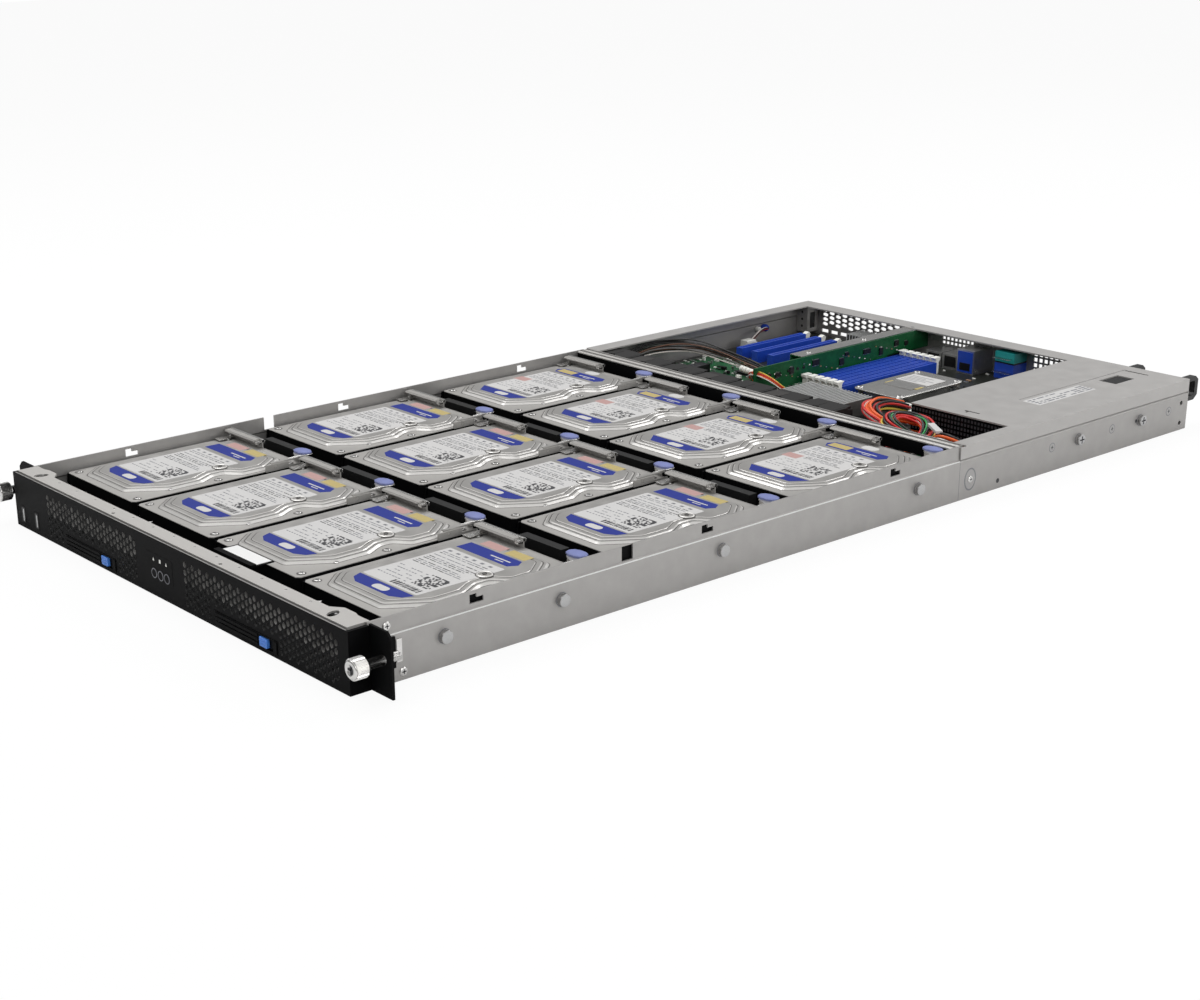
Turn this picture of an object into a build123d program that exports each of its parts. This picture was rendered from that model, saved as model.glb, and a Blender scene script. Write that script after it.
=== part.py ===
"""One-unit rack server with twelve flat drive carriers, both top covers lifted off.

Frame: X to the right seen from the front, Y from front to rear, Z up. The origin is on
the underside, midway across, in the plane of the rack ears. All sizes are in millimetres.
"""
import math
import os

from build123d import *

os.makedirs("parts", exist_ok=True)

# Rack envelope
rack_width = 482.6
body_width = 438.0
body_height = 43.5
body_depth = 863.0
sheet = 1.2
nose_depth = 13.8
seat_gap = 0.3

# Chassis side walls
step_height = 31.0
step_inset = 1.5
wall_inner = body_width / 2 - step_inset - sheet
rear_bay_y = 556.0
stud_ys = (56.6, 152.5, 298.4, 506.7, 707.5, 793.4)
stud_z = 20.3
stud_radius = 4.5
stud_length = 3.6
key_notch_ys = (83.5, 285.4, 481.2)
key_notch_z = 37.5
cover_notch_y = 211.0
cover_notch_width = 10.0
rear_hole_y = 857.5 - 4.0
rear_hole_z = 15.3
rear_hole_pitch = 17.6
rear_hole_radius = 1.9

# Drive bays
drive_width = 101.6
drive_length = 147.0
drive_height = 26.1
drive_top_z = 37.0
column_pitch = 107.7
row_pitch = 181.2
first_drive_y = 25.0
columns = 4
rows = 3
tray_sheet = 1.0
tray_gap = 0.3
tray_wall_height = 18.0
unplug_travel = 6.0

# Double rail between the bays
rail_ys = (548.0, 555.4)
rail_width = 6.0

# Rear compartment
fan_size = 40.0
fan_depth = 28.0
fan_pitch = 41.6
fan_count = 7
last_fan_x = 59.8
fan_y = 562.5
board_top_z = 13.6
board_thickness = 1.6
psu_left_x = 109.0
psu_front_y = 629.0
psu_module_gap = 0.8
psu_handle_reach = 25.0
riser_x = -62.0

# Bezel
bezel_front_y = -15.8
bezel_half_width = 219.8
bezel_height = 42.2
bezel_wall = 2.0
ssd_slot_width = 76.0
ssd_slot_height = 10.4
ssd_slot_z = 7.3
ssd_centre_x = 103.4
ssd_length = 112.0
ssd_body_top = 9.3

written = []


def block(xs, ys, zs, mode=Mode.ADD):
    """A rectangular form between three pairs of coordinates."""
    centre = ((xs[0] + xs[1]) / 2, (ys[0] + ys[1]) / 2, (zs[0] + zs[1]) / 2)
    with Locations(centre):
        Box(abs(xs[1] - xs[0]), abs(ys[1] - ys[0]), abs(zs[1] - zs[0]), mode=mode)


def rod(centre, radius, length, axis, mode=Mode.ADD):
    """A round bar or hole centred on a point, along a row axis."""
    turn = {"X": (0, 90, 0), "Y": (90, 0, 0), "Z": (0, 0, 0)}[axis]
    with Locations(Location(centre, turn)):
        Cylinder(radius, length, mode=mode)


def post(centre, reach, length, axis, sides=8, mode=Mode.ADD):
    """A many-sided post or hole centred on a point; reach is half its width across flats."""
    x_dir, z_dir = {"X": ((0, 1, 0), (1, 0, 0)), "Y": ((1, 0, 0), (0, 1, 0)),
                    "Z": ((1, 0, 0), (0, 0, 1))}[axis]
    with BuildSketch(Plane(origin=centre, x_dir=x_dir, z_dir=z_dir)) as outline:
        RegularPolygon(reach, sides, major_radius=False, rotation=180 / sides)
    extrude(outline.sketch, amount=length / 2, both=True, mode=mode)


def save(piece, name, shift=(0, 0, 0)):
    """Write a finished piece to its own file, labelled, moved by a shift."""
    placed = piece.part.moved(Location(shift))
    placed.label = name
    export_step(placed, f"parts/{name}.step")
    written.append(name)


# Chassis base: folded floor and joggled side walls
def make_chassis_base():
    half = body_width / 2
    upper = half - step_inset
    rear_wall_y = body_depth - sheet
    cover_seat_z = body_height - sheet - seat_gap
    with BuildPart() as chassis_base:
        with BuildSketch(Plane.XZ):
            with BuildLine():
                outer = Polyline(
                    (0, 0), (half, 0), (half, step_height), (upper, step_height + step_inset),
                    (upper, body_height), (upper - sheet, body_height),
                    (upper - sheet, step_height + step_inset - sheet / 2),
                    (half - sheet, step_height - sheet / 2), (half - sheet, sheet), (0, sheet),
                )
                mirror(outer, about=Plane.YZ)
            make_face()
        extrude(amount=-rear_wall_y)
        floor_half = bezel_half_width - bezel_wall - 2 * seat_gap
        block((-floor_half, floor_half), (-nose_depth + seat_gap, 0), (0, sheet))
        for side in (-1, 1):
            wall_x = side * (half - sheet / 2)
            top_x = side * (upper - sheet / 2)
            block((top_x - sheet, top_x + sheet), (rear_bay_y, body_depth),
                  (cover_seat_z, body_height + 1), mode=Mode.SUBTRACT)
            for y in key_notch_ys:
                block((top_x - sheet, top_x + sheet), (y - 5.5, y + 5.5),
                      (key_notch_z - 2, key_notch_z + 1.5), mode=Mode.SUBTRACT)
                block((top_x - sheet, top_x + sheet), (y - 5.5, y), (key_notch_z, key_notch_z + 4),
                      mode=Mode.SUBTRACT)
            block((top_x - sheet, top_x + sheet),
                  (cover_notch_y - cover_notch_width / 2, cover_notch_y + cover_notch_width / 2),
                  (step_height + step_inset + 0.5, body_height + 1), mode=Mode.SUBTRACT)
            for z in (rear_hole_z - rear_hole_pitch / 2, rear_hole_z + rear_hole_pitch / 2):
                rod((wall_x, rear_hole_y, z), rear_hole_radius, 3 * sheet, "X", mode=Mode.SUBTRACT)
            for y in stud_ys:
                reach = stud_length + sheet / 2
                rod((side * (half - sheet / 2 + reach / 2), y, stud_z), stud_radius, reach, "X")
    save(chassis_base, "chassis_base")


# Rear wall with its perforations and the openings for ports and power modules
port_boxes = (((-44.0, -6.5), (board_top_z, 27.6)), ((-4.5, 14.5), (board_top_z, 36.0)),
              ((31.0, 52.0), (board_top_z, 38.4)))
port_clearance = 0.4
vent_radius = 4.0


def make_rear_wall():
    y0, y1 = body_depth - sheet, body_depth
    with BuildPart() as rear_wall:
        with BuildSketch(Plane.XZ.offset(-y1)):
            with Locations((0, (body_height - sheet) / 2)):
                Rectangle(body_width, body_height - sheet)
            with Locations((-142, 32.0)):
                with GridLocations(11.4, 1, 7, 1):
                    RegularPolygon(vent_radius, 4, mode=Mode.SUBTRACT)
            with Locations((-142, 27.0)):
                with GridLocations(11.4, 1, 6, 1):
                    RegularPolygon(vent_radius, 4, mode=Mode.SUBTRACT)
            with Locations((-165, 18.5)):
                with GridLocations(11.0, 1, 6, 1):
                    Rectangle(8.0, 3.6, mode=Mode.SUBTRACT)
            with Locations((-28, 33.8)):
                with GridLocations(8.4, 7.0, 5, 2):
                    Rectangle(5.6, 4.6, mode=Mode.SUBTRACT)
            with Locations((81, 29.0)):
                with GridLocations(9.0, 8.0, 5, 3):
                    Rectangle(6.4, 5.4, mode=Mode.SUBTRACT)
            for (x0, x1), (z0, z1) in port_boxes:
                with Locations(((x0 + x1) / 2, (z0 + z1) / 2)):
                    Rectangle(x1 - x0 + 2 * port_clearance, z1 - z0 + 2 * port_clearance,
                              mode=Mode.SUBTRACT)
            with Locations(((psu_left_x + sheet + wall_inner) / 2, 21.3)):
                Rectangle(wall_inner - psu_left_x - sheet - 1, 39.8, mode=Mode.SUBTRACT)
        extrude(amount=sheet)
    save(rear_wall, "rear_wall")


# Fixed rear cover frame: side skirts, rear flange and the plate over the power bay
def make_rear_cover_frame():
    half = body_width / 2
    plate_z = body_height - sheet
    skirt_z = step_height + step_inset + seat_gap
    flange = 17.0
    narrow_flange = 12.0
    rear_flange = 20.0
    plate_y = rail_ys[1] + rail_width + seat_gap
    with BuildPart() as rear_cover_frame:
        with BuildSketch(Plane.XY.offset(plate_z)):
            with BuildLine():
                Polyline(
                    (-half, plate_y), (-half, body_depth), (half, body_depth), (half, plate_y),
                    (half - narrow_flange, plate_y), (half - narrow_flange, psu_front_y),
                    (psu_left_x, psu_front_y), (psu_left_x, body_depth - rear_flange),
                    (flange - half, body_depth - rear_flange), (flange - half, plate_y),
                    close=True,
                )
            make_face()
            with Locations((178.5, 815.5)):
                Rectangle(17, 27, mode=Mode.SUBTRACT)
            with Locations((161.5, 642)):
                Rectangle(15, 2.2, mode=Mode.SUBTRACT)
            with Locations((158, 640)):
                Rectangle(2.2, 5, mode=Mode.SUBTRACT)
            with Locations((176.5, 848)):
                Rectangle(23, 2.6, mode=Mode.SUBTRACT)
        extrude(amount=sheet)
        with BuildSketch(Plane.XY.offset(body_height)):
            with Locations((163.5, 776)):
                Rectangle(0.8, 150)
        extrude(amount=-0.4, mode=Mode.SUBTRACT)
        for side in (-1, 1):
            xs = (side * (half - sheet), side * half)
            block(xs, (rear_bay_y, body_depth - sheet), (skirt_z, plate_z))
    save(rear_cover_frame, "rear_cover_frame")


# Front bezel: perforated face between two solid ends
panel_xs = (-19.5, 12.5)
panel_zs = (13.5, 31.5)
button_xs = (-10.7, -2.1, 6.2)
button_z = 17.2
button_radius = 2.6
button_sides = 16
usb_xs = (-208.0, -186.5)
usb_z = 10.8


def make_front_bezel():
    face_y = bezel_front_y + bezel_wall
    mid_z = bezel_height / 2 + 0.2
    hole_radius = 3.8
    hole_dx, hole_dz = 14.1, 11.4
    zones = ((-163.5, -36.0), (29.0, 208.0))
    with BuildPart() as front_bezel:
        with BuildSketch(Plane.XZ.offset(-face_y)):
            with Locations((0, mid_z)):
                Rectangle(2 * bezel_half_width, bezel_height - 0.4)
            for x0, x1 in zones:
                count = round((x1 - x0) / hole_dx)
                centre = (x0 + x1) / 2
                with Locations((centre, 29.6)):
                    with GridLocations(hole_dx, hole_dz, count, 2):
                        RegularPolygon(hole_radius, 4, rotation=45, mode=Mode.SUBTRACT)
                with Locations((centre, 29.6)):
                    with GridLocations(hole_dx, hole_dz, count - 1, 1):
                        RegularPolygon(hole_radius, 4, rotation=45, mode=Mode.SUBTRACT)
            for x, across in ((-153.0, 1), (-47.5, 1), (46.5, 2), (176.5, 3)):
                with Locations((x, 10.4)):
                    with GridLocations(hole_dx, 2 * hole_radius, across, 2):
                        RegularPolygon(hole_radius, 4, rotation=45, mode=Mode.SUBTRACT)
            for side in (-1, 1):
                with Locations((side * ssd_centre_x, ssd_slot_z)):
                    Rectangle(ssd_slot_width, ssd_slot_height, mode=Mode.SUBTRACT)
            for x in usb_xs:
                with Locations((x, usb_z)):
                    Rectangle(5.4, 13.0, mode=Mode.SUBTRACT)
            for x in button_xs:
                with Locations((x, button_z)):
                    RegularPolygon(button_radius + seat_gap, button_sides, major_radius=False,
                                   rotation=180 / button_sides, mode=Mode.SUBTRACT)
        extrude(amount=bezel_wall)
        for side in (-1, 1):
            xs = (side * (bezel_half_width - bezel_wall), side * bezel_half_width)
            block(xs, (face_y, -seat_gap), (0.4, bezel_height))
        front_edges = front_bezel.edges().filter_by(Axis.Z).group_by(Axis.Y)[0]
        corner = [e for e in front_edges if abs(abs(e.center().X) - bezel_half_width) < 0.1]
        chamfer(corner, 0.8)
    save(front_bezel, "front_bezel")


# Silver cross members: the front strip and the double rail between the bays
def tear_points(side):
    """A tear-shaped hole of the front strip, leaning away from the middle."""
    half_width, half_length, lean = 3.4, 5.6, math.radians(25 * side)
    points = []
    for step in range(10):
        turn = 2 * math.pi * step / 10
        across = half_width * math.cos(turn)
        along = half_length * math.sin(turn)
        points.append((across * math.cos(lean) - along * math.sin(lean),
                       across * math.sin(lean) + along * math.cos(lean)))
    return points


def make_cross_members():
    strip_z = body_height - sheet
    half = wall_inner - seat_gap
    ear_depth = 3.0
    lip_height = 3.0
    front_y = bezel_front_y + bezel_wall + seat_gap
    with BuildPart() as cross_members:
        with BuildSketch(Plane.XY.offset(strip_z)):
            with BuildLine():
                Polyline(
                    (-half, front_y), (half, front_y), (half, ear_depth), (half - 12, ear_depth),
                    (half - 16, ear_depth + 1.5), (half - 28, ear_depth + 1.5), (half - 36, -1.5),
                    (36 - half, -1.5), (28 - half, ear_depth + 1.5), (16 - half, ear_depth + 1.5),
                    (12 - half, ear_depth), (-half, ear_depth), close=True,
                )
            make_face()
            for side in (-1, 1):
                with Locations((side * 191.5, -6.5)):
                    Polygon(*tear_points(side), align=None, mode=Mode.SUBTRACT)
            with Locations((-73.7, -10.5), (68.8, -10.5)):
                RegularPolygon(1.4, 8, mode=Mode.SUBTRACT)
        extrude(amount=sheet)
        block((-half, half), (front_y, front_y + sheet), (strip_z - lip_height, strip_z))
        for side in (-1, 1):
            xs = (side * (half - sheet), side * half)
            block(xs, (front_y, ear_depth), (sheet + seat_gap, strip_z))
        for y in rail_ys:
            with BuildSketch(Plane.YZ.offset(-half)):
                with BuildLine():
                    Polyline(
                        (y, 31.0), (y, body_height - 1.0), (y + 1.0, body_height),
                        (y + rail_width, body_height), (y + rail_width, body_height - sheet),
                        (y + sheet, body_height - sheet), (y + sheet, 31.0), close=True,
                    )
                make_face()
            extrude(amount=2 * half)
        for x in (-100.0, 112.0):
            block((x - 6, x + 6), (rail_ys[0] + rail_width, rail_ys[1]),
                  (body_height - sheet, body_height))
        for side in (-1, 1):
            xs = (side * (half - sheet), side * half)
            block(xs, (rail_ys[0], rail_ys[1] + rail_width), (31.0, body_height - sheet))
    save(cross_members, "cross_members")


# Rack ears with their side flanges
ear_screw_x = 232.55
ear_screw_z = 23.8
ear_hole_radius = 3.6


def make_rack_ears():
    with BuildPart() as rack_ears:
        for side in (-1, 1):
            inner = side * (body_width / 2 + seat_gap / 3)
            outer = side * rack_width / 2
            with BuildSketch(Plane.XZ):
                with BuildLine():
                    Polyline(
                        (inner, 0.4), (outer, 0.4), (outer, body_height - 4.9),
                        (outer - side * 4.5, body_height - 0.4), (inner, body_height - 0.4),
                        close=True,
                    )
                make_face()
                with Locations((side * ear_screw_x, ear_screw_z)):
                    Circle(ear_hole_radius, mode=Mode.SUBTRACT)
            extrude(amount=-1.8)
            flange_out = inner + side * 1.2
            block((inner, flange_out), (1.8, 18.4), (10.0, 30.4))
            for z in (23.6, 14.6):
                post((inner + side * 1.2, 13.0, z), 2.5, 1.6, "X")
    save(rack_ears, "rack_ears")


# Captive thumbscrew: knurled head, neck and threaded shank
def make_thumbscrews():
    head_radius = 7.0
    head_front_y = -24.0
    head_back_y = -13.5
    neck_radius = 3.3
    neck_end_y = 2.0
    shank_radius = 3.0
    shank_end_y = 12.0
    knurls = 9
    with BuildPart() as thumbscrew:
        with BuildSketch(Plane.XZ.offset(-head_front_y)):
            with Locations((0, ear_screw_z)):
                RegularPolygon(head_radius, 2 * knurls)
        extrude(amount=-(head_back_y - head_front_y))
        chamfer(thumbscrew.edges().group_by(Axis.Y)[0], 1.0)
        rod((0, (head_back_y + neck_end_y) / 2, ear_screw_z), neck_radius,
            neck_end_y - head_back_y, "Y")
        rod((0, (neck_end_y + shank_end_y) / 2, ear_screw_z), shank_radius,
            shank_end_y - neck_end_y, "Y")
        for xs, zs in ((4.6, 1.1), (1.1, 4.6)):
            block((-xs, xs), (head_front_y, head_front_y + 2.2),
                  (ear_screw_z - zs, ear_screw_z + zs), mode=Mode.SUBTRACT)
    save(thumbscrew, "thumbscrew_left", (-ear_screw_x, 0, 0))
    save(thumbscrew, "thumbscrew_right", (ear_screw_x, 0, 0))


# Removable tray for a 2.5 inch drive, behind its slot in the bezel
latch_offset_x = 22.0
latch_width = 8.4
latch_height = 6.2
latch_depth = 5.0


def make_ssd_trays():
    clear = 0.4
    half = ssd_slot_width / 2 - clear
    z0 = ssd_slot_z - ssd_slot_height / 2 + clear
    z1 = ssd_slot_z + ssd_slot_height / 2 - clear
    face_y = bezel_front_y - 0.2
    with BuildPart() as ssd_tray:
        block((-half, half), (face_y, face_y + 7), (z0, z1))
        block((-half + 1, half - 1), (face_y + 7, face_y + ssd_length), (z0, ssd_body_top))
        for z in (ssd_slot_z - 1.7, ssd_slot_z + 1.5):
            block((-28, 10), (face_y, face_y + 0.8), (z - 0.5, z + 0.5), mode=Mode.SUBTRACT)
        block((latch_offset_x - 5.0, latch_offset_x + 13.0), (face_y, face_y + latch_depth + 1),
              (z0 + 0.9, z1 - 0.9), mode=Mode.SUBTRACT)
        block((latch_offset_x + 4.6, latch_offset_x + 13.0),
              (face_y + 1.4, face_y + latch_depth + 1), (z0 + 0.9, z1 - 0.9))
    save(ssd_tray, "ssd_tray_left", (-ssd_centre_x, 0, 0))
    save(ssd_tray, "ssd_tray_right", (ssd_centre_x, 0, 0))


def make_ssd_latches():
    x = latch_offset_x
    y0 = bezel_front_y - 0.4
    travel_gap = 1.6
    with BuildPart() as ssd_latch:
        block((x - latch_width / 2, x + latch_width / 2), (y0, y0 + latch_depth + 1 - travel_gap),
              (ssd_slot_z - latch_height / 2, ssd_slot_z + latch_height / 2))
        edges = ssd_latch.edges().filter_by(Axis.Z).group_by(Axis.Y)[0]
        chamfer(edges, 0.5)
    save(ssd_latch, "ssd_latch_left", (-ssd_centre_x, 0, 0))
    save(ssd_latch, "ssd_latch_right", (ssd_centre_x, 0, 0))


# Front panel buttons
def make_buttons():
    y0 = bezel_front_y - 0.5
    cap_length = 6.0
    with BuildPart() as button:
        post((0, y0 + cap_length / 2, button_z), button_radius, cap_length, "Y", button_sides)
    for x, name in zip(button_xs, ("power_button", "reset_button", "locate_button")):
        save(button, name, (x, 0, 0))


# Guides that carry the trays along the bay, with the dark front baffle
guide_web = 1.6
guide_ledge = 5.0
ledge_sheet = 1.2
tray_floor_z = drive_top_z - drive_height - tray_sheet
row_ys = [first_drive_y + row * row_pitch for row in range(rows)]
column_xs = [(column - (columns - 1) / 2) * column_pitch for column in range(columns)]


def make_bay_guides():
    ledge_z = tray_floor_z - 0.2
    fin_z = 33.0
    bay_end_y = rail_ys[0] - 1.0
    guide_front_y = 12.0
    baffle_ys = (5.0, 6.2)
    baffle_z = 34.0
    baffle_flange = 5.0
    with BuildPart() as bay_guides:
        for index in range(columns + 1):
            boundary = (index - columns / 2) * column_pitch
            outermost = index in (0, columns)
            side = -1 if index == 0 else 1
            if outermost:
                wall_side = side * (wall_inner - seat_gap / 3)
                web = sorted((wall_side, side * (wall_inner - guide_web)))
                ledge = sorted((wall_side, side * (wall_inner - guide_ledge)))
            else:
                web = (boundary - guide_web / 2, boundary + guide_web / 2)
                ledge = (boundary - guide_ledge, boundary + guide_ledge)
            over_tray = abs(abs(boundary) - ssd_centre_x) < ssd_slot_width / 2
            foot_y = bezel_front_y + ssd_length + 4 if over_tray else guide_front_y
            with BuildSketch(Plane.YZ.offset(web[0])):
                with BuildLine():
                    points = [(foot_y, sheet), (foot_y, ledge_z)]
                    for row_y in row_ys:
                        points += [(row_y - 1, ledge_z), (row_y + 2, fin_z), (row_y + 128, fin_z),
                                   (row_y + 134, ledge_z)]
                    points += [(bay_end_y, ledge_z), (bay_end_y, sheet)]
                    Polyline(*points, close=True)
                make_face()
            extrude(amount=web[1] - web[0])
            block(ledge, (foot_y, bay_end_y), (ledge_z - ledge_sheet, ledge_z))
        front_x = wall_inner - seat_gap / 3
        block((-front_x, front_x), baffle_ys, (22.0, baffle_z))
        block((-front_x, front_x), (baffle_ys[0], baffle_ys[0] + baffle_flange),
              (baffle_z - ledge_sheet, baffle_z))
    save(bay_guides, "bay_guides")


# Drive backplanes: a board behind each row with its plugs and cable shrouds
def make_drive_backplanes():
    board_z = sheet + 4.8
    thickness = 1.6
    shroud_z = 33.0
    with BuildPart() as drive_backplanes:
        for row_y in row_ys:
            last = row_y == row_ys[-1]
            back_y = row_y + drive_length + 2.6
            board_depth = 23.0 if last else 27.0
            for x in column_xs:
                left = x - drive_width / 2
                for post_y in (back_y + 4, back_y + board_depth - 4):
                    block((x - 2, x + 2), (post_y - 2, post_y + 2), (sheet, board_z - thickness))
                block((left + 3, left + drive_width - 3), (back_y, back_y + board_depth),
                      (board_z - thickness, board_z))
                block((left + 12, left + 56), (back_y, back_y + 7), (board_z, 19.0))
                block((left + 12, left + 56), (back_y - 2.5, back_y), (12.0, 18.0))
                if last:
                    continue
                with BuildSketch(Plane.YZ.offset(left + 18)):
                    with BuildLine():
                        Polyline((back_y + 15, board_z), (back_y + 15, 24.0), (back_y + 17, shroud_z),
                                 (back_y + 24.5, shroud_z), (back_y + 24.5, board_z), close=True)
                    make_face()
                extrude(amount=44)
    save(drive_backplanes, "drive_backplanes")


# Hard drive in its sheet tray with the formed pull bar
plateau_inset = 8.0


def drive_outline(inset):
    """Half-stepped outline of the raised drive cover, seen from above."""
    half = drive_width / 2 - inset
    front = 12.0 + inset - plateau_inset
    back = drive_length - 12.0 - inset + plateau_inset
    return [
        (-half, front + 14), (-half + 12, front), (half - 22, front), (half - 4, front + 26),
        (half - 4, 62), (half - 12, 76), (half - 12, 88), (half, 98), (half, back - 18),
        (half - 14, back), (-half + 14, back), (-half, back - 16),
    ]


def make_carriers():
    x, y = 0.0, 0.0
    bottom = drive_top_z - drive_height + 0.2
    rim_z = drive_top_z - 2.2
    half = drive_width / 2
    tray_half = half + tray_gap + tray_sheet
    back_y = y + drive_length + tray_gap
    wall_top = tray_floor_z + tray_wall_height
    pull_z = body_height - 2.0
    pull_length = 47.0
    with BuildPart() as drive_carrier:
        block((x - half, x + half), (y, y + drive_length), (bottom, rim_z))
        chamfer(drive_carrier.edges().filter_by(Axis.Z), 2.5)
        with BuildSketch(Plane.XY.offset(rim_z)):
            with BuildLine():
                Polyline(*[(x + px, y + py) for px, py in drive_outline(plateau_inset)], close=True)
            make_face()
        extrude(amount=drive_top_z - rim_z)
        chamfer(drive_carrier.edges().group_by(Axis.Z)[-1], 1.2)
    with BuildPart() as tray:
        with BuildSketch(Plane.XY.offset(tray_floor_z)):
            with Locations((x, y + drive_length / 2)):
                Rectangle(2 * tray_half, drive_length + 2 * tray_gap)
                with GridLocations(0, 66, 1, 2):
                    Rectangle(76, 52, mode=Mode.SUBTRACT)
        extrude(amount=tray_sheet)
        for side in (-1, 1):
            xs = (x + side * (half + tray_gap), x + side * tray_half)
            block(xs, (y + 2, y + drive_length - 12), (tray_floor_z, wall_top))
            block(xs, (y + drive_length - 12, back_y + tray_sheet), (tray_floor_z, rim_z + 1.0))
        left_end = x - tray_half
        block((left_end, x + tray_half), (back_y, back_y + tray_sheet), (tray_floor_z, rim_z))
        block((x - half + 9, x - half + 58), (back_y - 0.1, back_y + tray_sheet + 0.1),
              (tray_floor_z + tray_sheet, 20.5), mode=Mode.SUBTRACT)
        with BuildSketch(Plane.YZ.offset(left_end)):
            with BuildLine():
                Polyline(
                    (back_y, rim_z), (back_y, pull_z - 2.2), (back_y - 4.5, pull_z - 2.2),
                    (back_y - 5.5, pull_z - 1.2), (back_y - 4.5, pull_z),
                    (back_y + 2.2, pull_z), (back_y + 3.0, pull_z - 0.9),
                    (back_y + 2.2, pull_z - 2.2), (back_y + tray_sheet, pull_z - 2.2),
                    (back_y + tray_sheet, rim_z), close=True,
                )
            make_face()
        extrude(amount=pull_length)
        block((left_end + pull_length - 4, left_end + pull_length), (back_y - 6, back_y + 4),
              (pull_z - 1.4, pull_z + 1), mode=Mode.SUBTRACT)
        pivot_x = x + half + tray_gap + tray_sheet / 2
        block((x + half + tray_gap, x + tray_half),
              (y + drive_length - 33, y + drive_length - 12), (wall_top, pivot_z + 2.0))
        rod((pivot_x, y + pivot_offset, pivot_z), pivot_radius, tray_sheet + 0.2, "X",
            mode=Mode.SUBTRACT)
    with BuildPart() as carrier:
        add(drive_carrier.part)
        add(tray.part)
    for row, row_y in enumerate(row_ys):
        for column, column_x in enumerate(column_xs):
            save(carrier, f"drive_carrier_{row + 1}{column + 1}", (column_x, row_y, 0))


# Blue-tipped latch lever at the rear right corner of each tray
pivot_offset = drive_length - 24.0
pivot_z = drive_top_z + 0.4
pivot_radius = 1.3
pin_clearance = 0.15
lever_sheet = 1.0
pad_length = 17.0
pad_width = 11.0


def make_latches():
    x = drive_width / 2
    y = 0.0
    pivot_y = y + pivot_offset
    lever_z = drive_top_z + 2.2
    back_y = y + drive_length + 2 * tray_gap + tray_sheet
    pad_x = x - 9.5
    pad_end = pad_length / 2 - pad_width / 2
    pad_points = [(end * (pad_end + math.cos(turn) * pad_width / 2), end * math.sin(turn) * pad_width / 2)
                  for end in (1, -1) for turn in (-math.pi / 2, -math.pi / 4, 0, math.pi / 4, math.pi / 2)]
    pad_y = back_y + 6.0
    with BuildPart() as tray_latch:
        with BuildSketch(Plane.XY.offset(lever_z)):
            with BuildLine():
                Polyline(
                    (x - 3.0, pivot_y - 3), (x, pivot_y - 3), (x, back_y + 3), (pad_x + 5.0, pad_y),
                    (pad_x - 5.0, pad_y), (pad_x - 4.0, back_y), (x - 3.0, back_y - 5), close=True,
                )
            make_face()
        extrude(amount=lever_sheet)
        with BuildSketch(Plane.YZ.offset(x - lever_sheet)):
            with BuildLine():
                Polyline((pivot_y - 3, lever_z), (pivot_y - 2.2, pivot_z - 2.2),
                         (pivot_y + 2.2, pivot_z - 2.2), (pivot_y + 5, lever_z), close=True)
            make_face()
        extrude(amount=lever_sheet)
        pin_length = lever_sheet + tray_gap + tray_sheet
        post((x - lever_sheet + pin_length / 2, pivot_y, pivot_z), pivot_radius - pin_clearance,
             pin_length, "X")
        with BuildSketch(Plane.XY.offset(lever_z + lever_sheet)):
            with Locations((pad_x, pad_y)):
                Polygon(*pad_points, align=None)
        extrude(amount=1.4)
        block((pad_x - 3.5, pad_x + 3.5), (back_y + seat_gap, back_y + seat_gap + lever_sheet),
              (lever_z - 7, lever_z))
    for row, row_y in enumerate(row_ys):
        for column, column_x in enumerate(column_xs):
            save(tray_latch, f"tray_latch_{row + 1}{column + 1}", (column_x, row_y, 0))


# Fans: frames with round ducts, and rotors on their hubs
fan_xs = [last_fan_x - index * fan_pitch for index in reversed(range(fan_count))]
fan_z = sheet + seat_gap / 3 + fan_size / 2
duct_radius = 18.6
duct_sides = 20
hub_radius = 9.5
hub_sides = 12
rotor_front_y = fan_y + 3.0
rotor_length = 19.0


def make_fan_frames():
    strut_y = rotor_front_y + rotor_length + seat_gap
    with BuildPart() as fan_frames:
        for x in fan_xs:
            half = fan_size / 2
            block((x - half, x + half), (fan_y, fan_y + fan_depth), (fan_z - half, fan_z + half))
            post((x, fan_y + fan_depth / 2, fan_z), duct_radius, fan_depth, "Y", duct_sides,
                 mode=Mode.SUBTRACT)
            post((x, (strut_y + fan_y + fan_depth) / 2, fan_z), hub_radius,
                 fan_y + fan_depth - strut_y, "Y", hub_sides)
            block((x - duct_radius - 0.5, x + duct_radius + 0.5), (strut_y + 2, fan_y + fan_depth - 1),
                  (fan_z - 1, fan_z + 1))
            block((x - 1, x + 1), (strut_y + 2, fan_y + fan_depth - 1),
                  (fan_z - duct_radius - 0.5, fan_z + duct_radius + 0.5))
            for edge in (-1, 1):
                block((x + edge * half - 2.2, x + edge * half + 2.2),
                      (fan_y + fan_depth - 6, fan_y + fan_depth),
                      (fan_z + half - 2, fan_z + half + 0.5), mode=Mode.SUBTRACT)
    save(fan_frames, "fan_frames")


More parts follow.
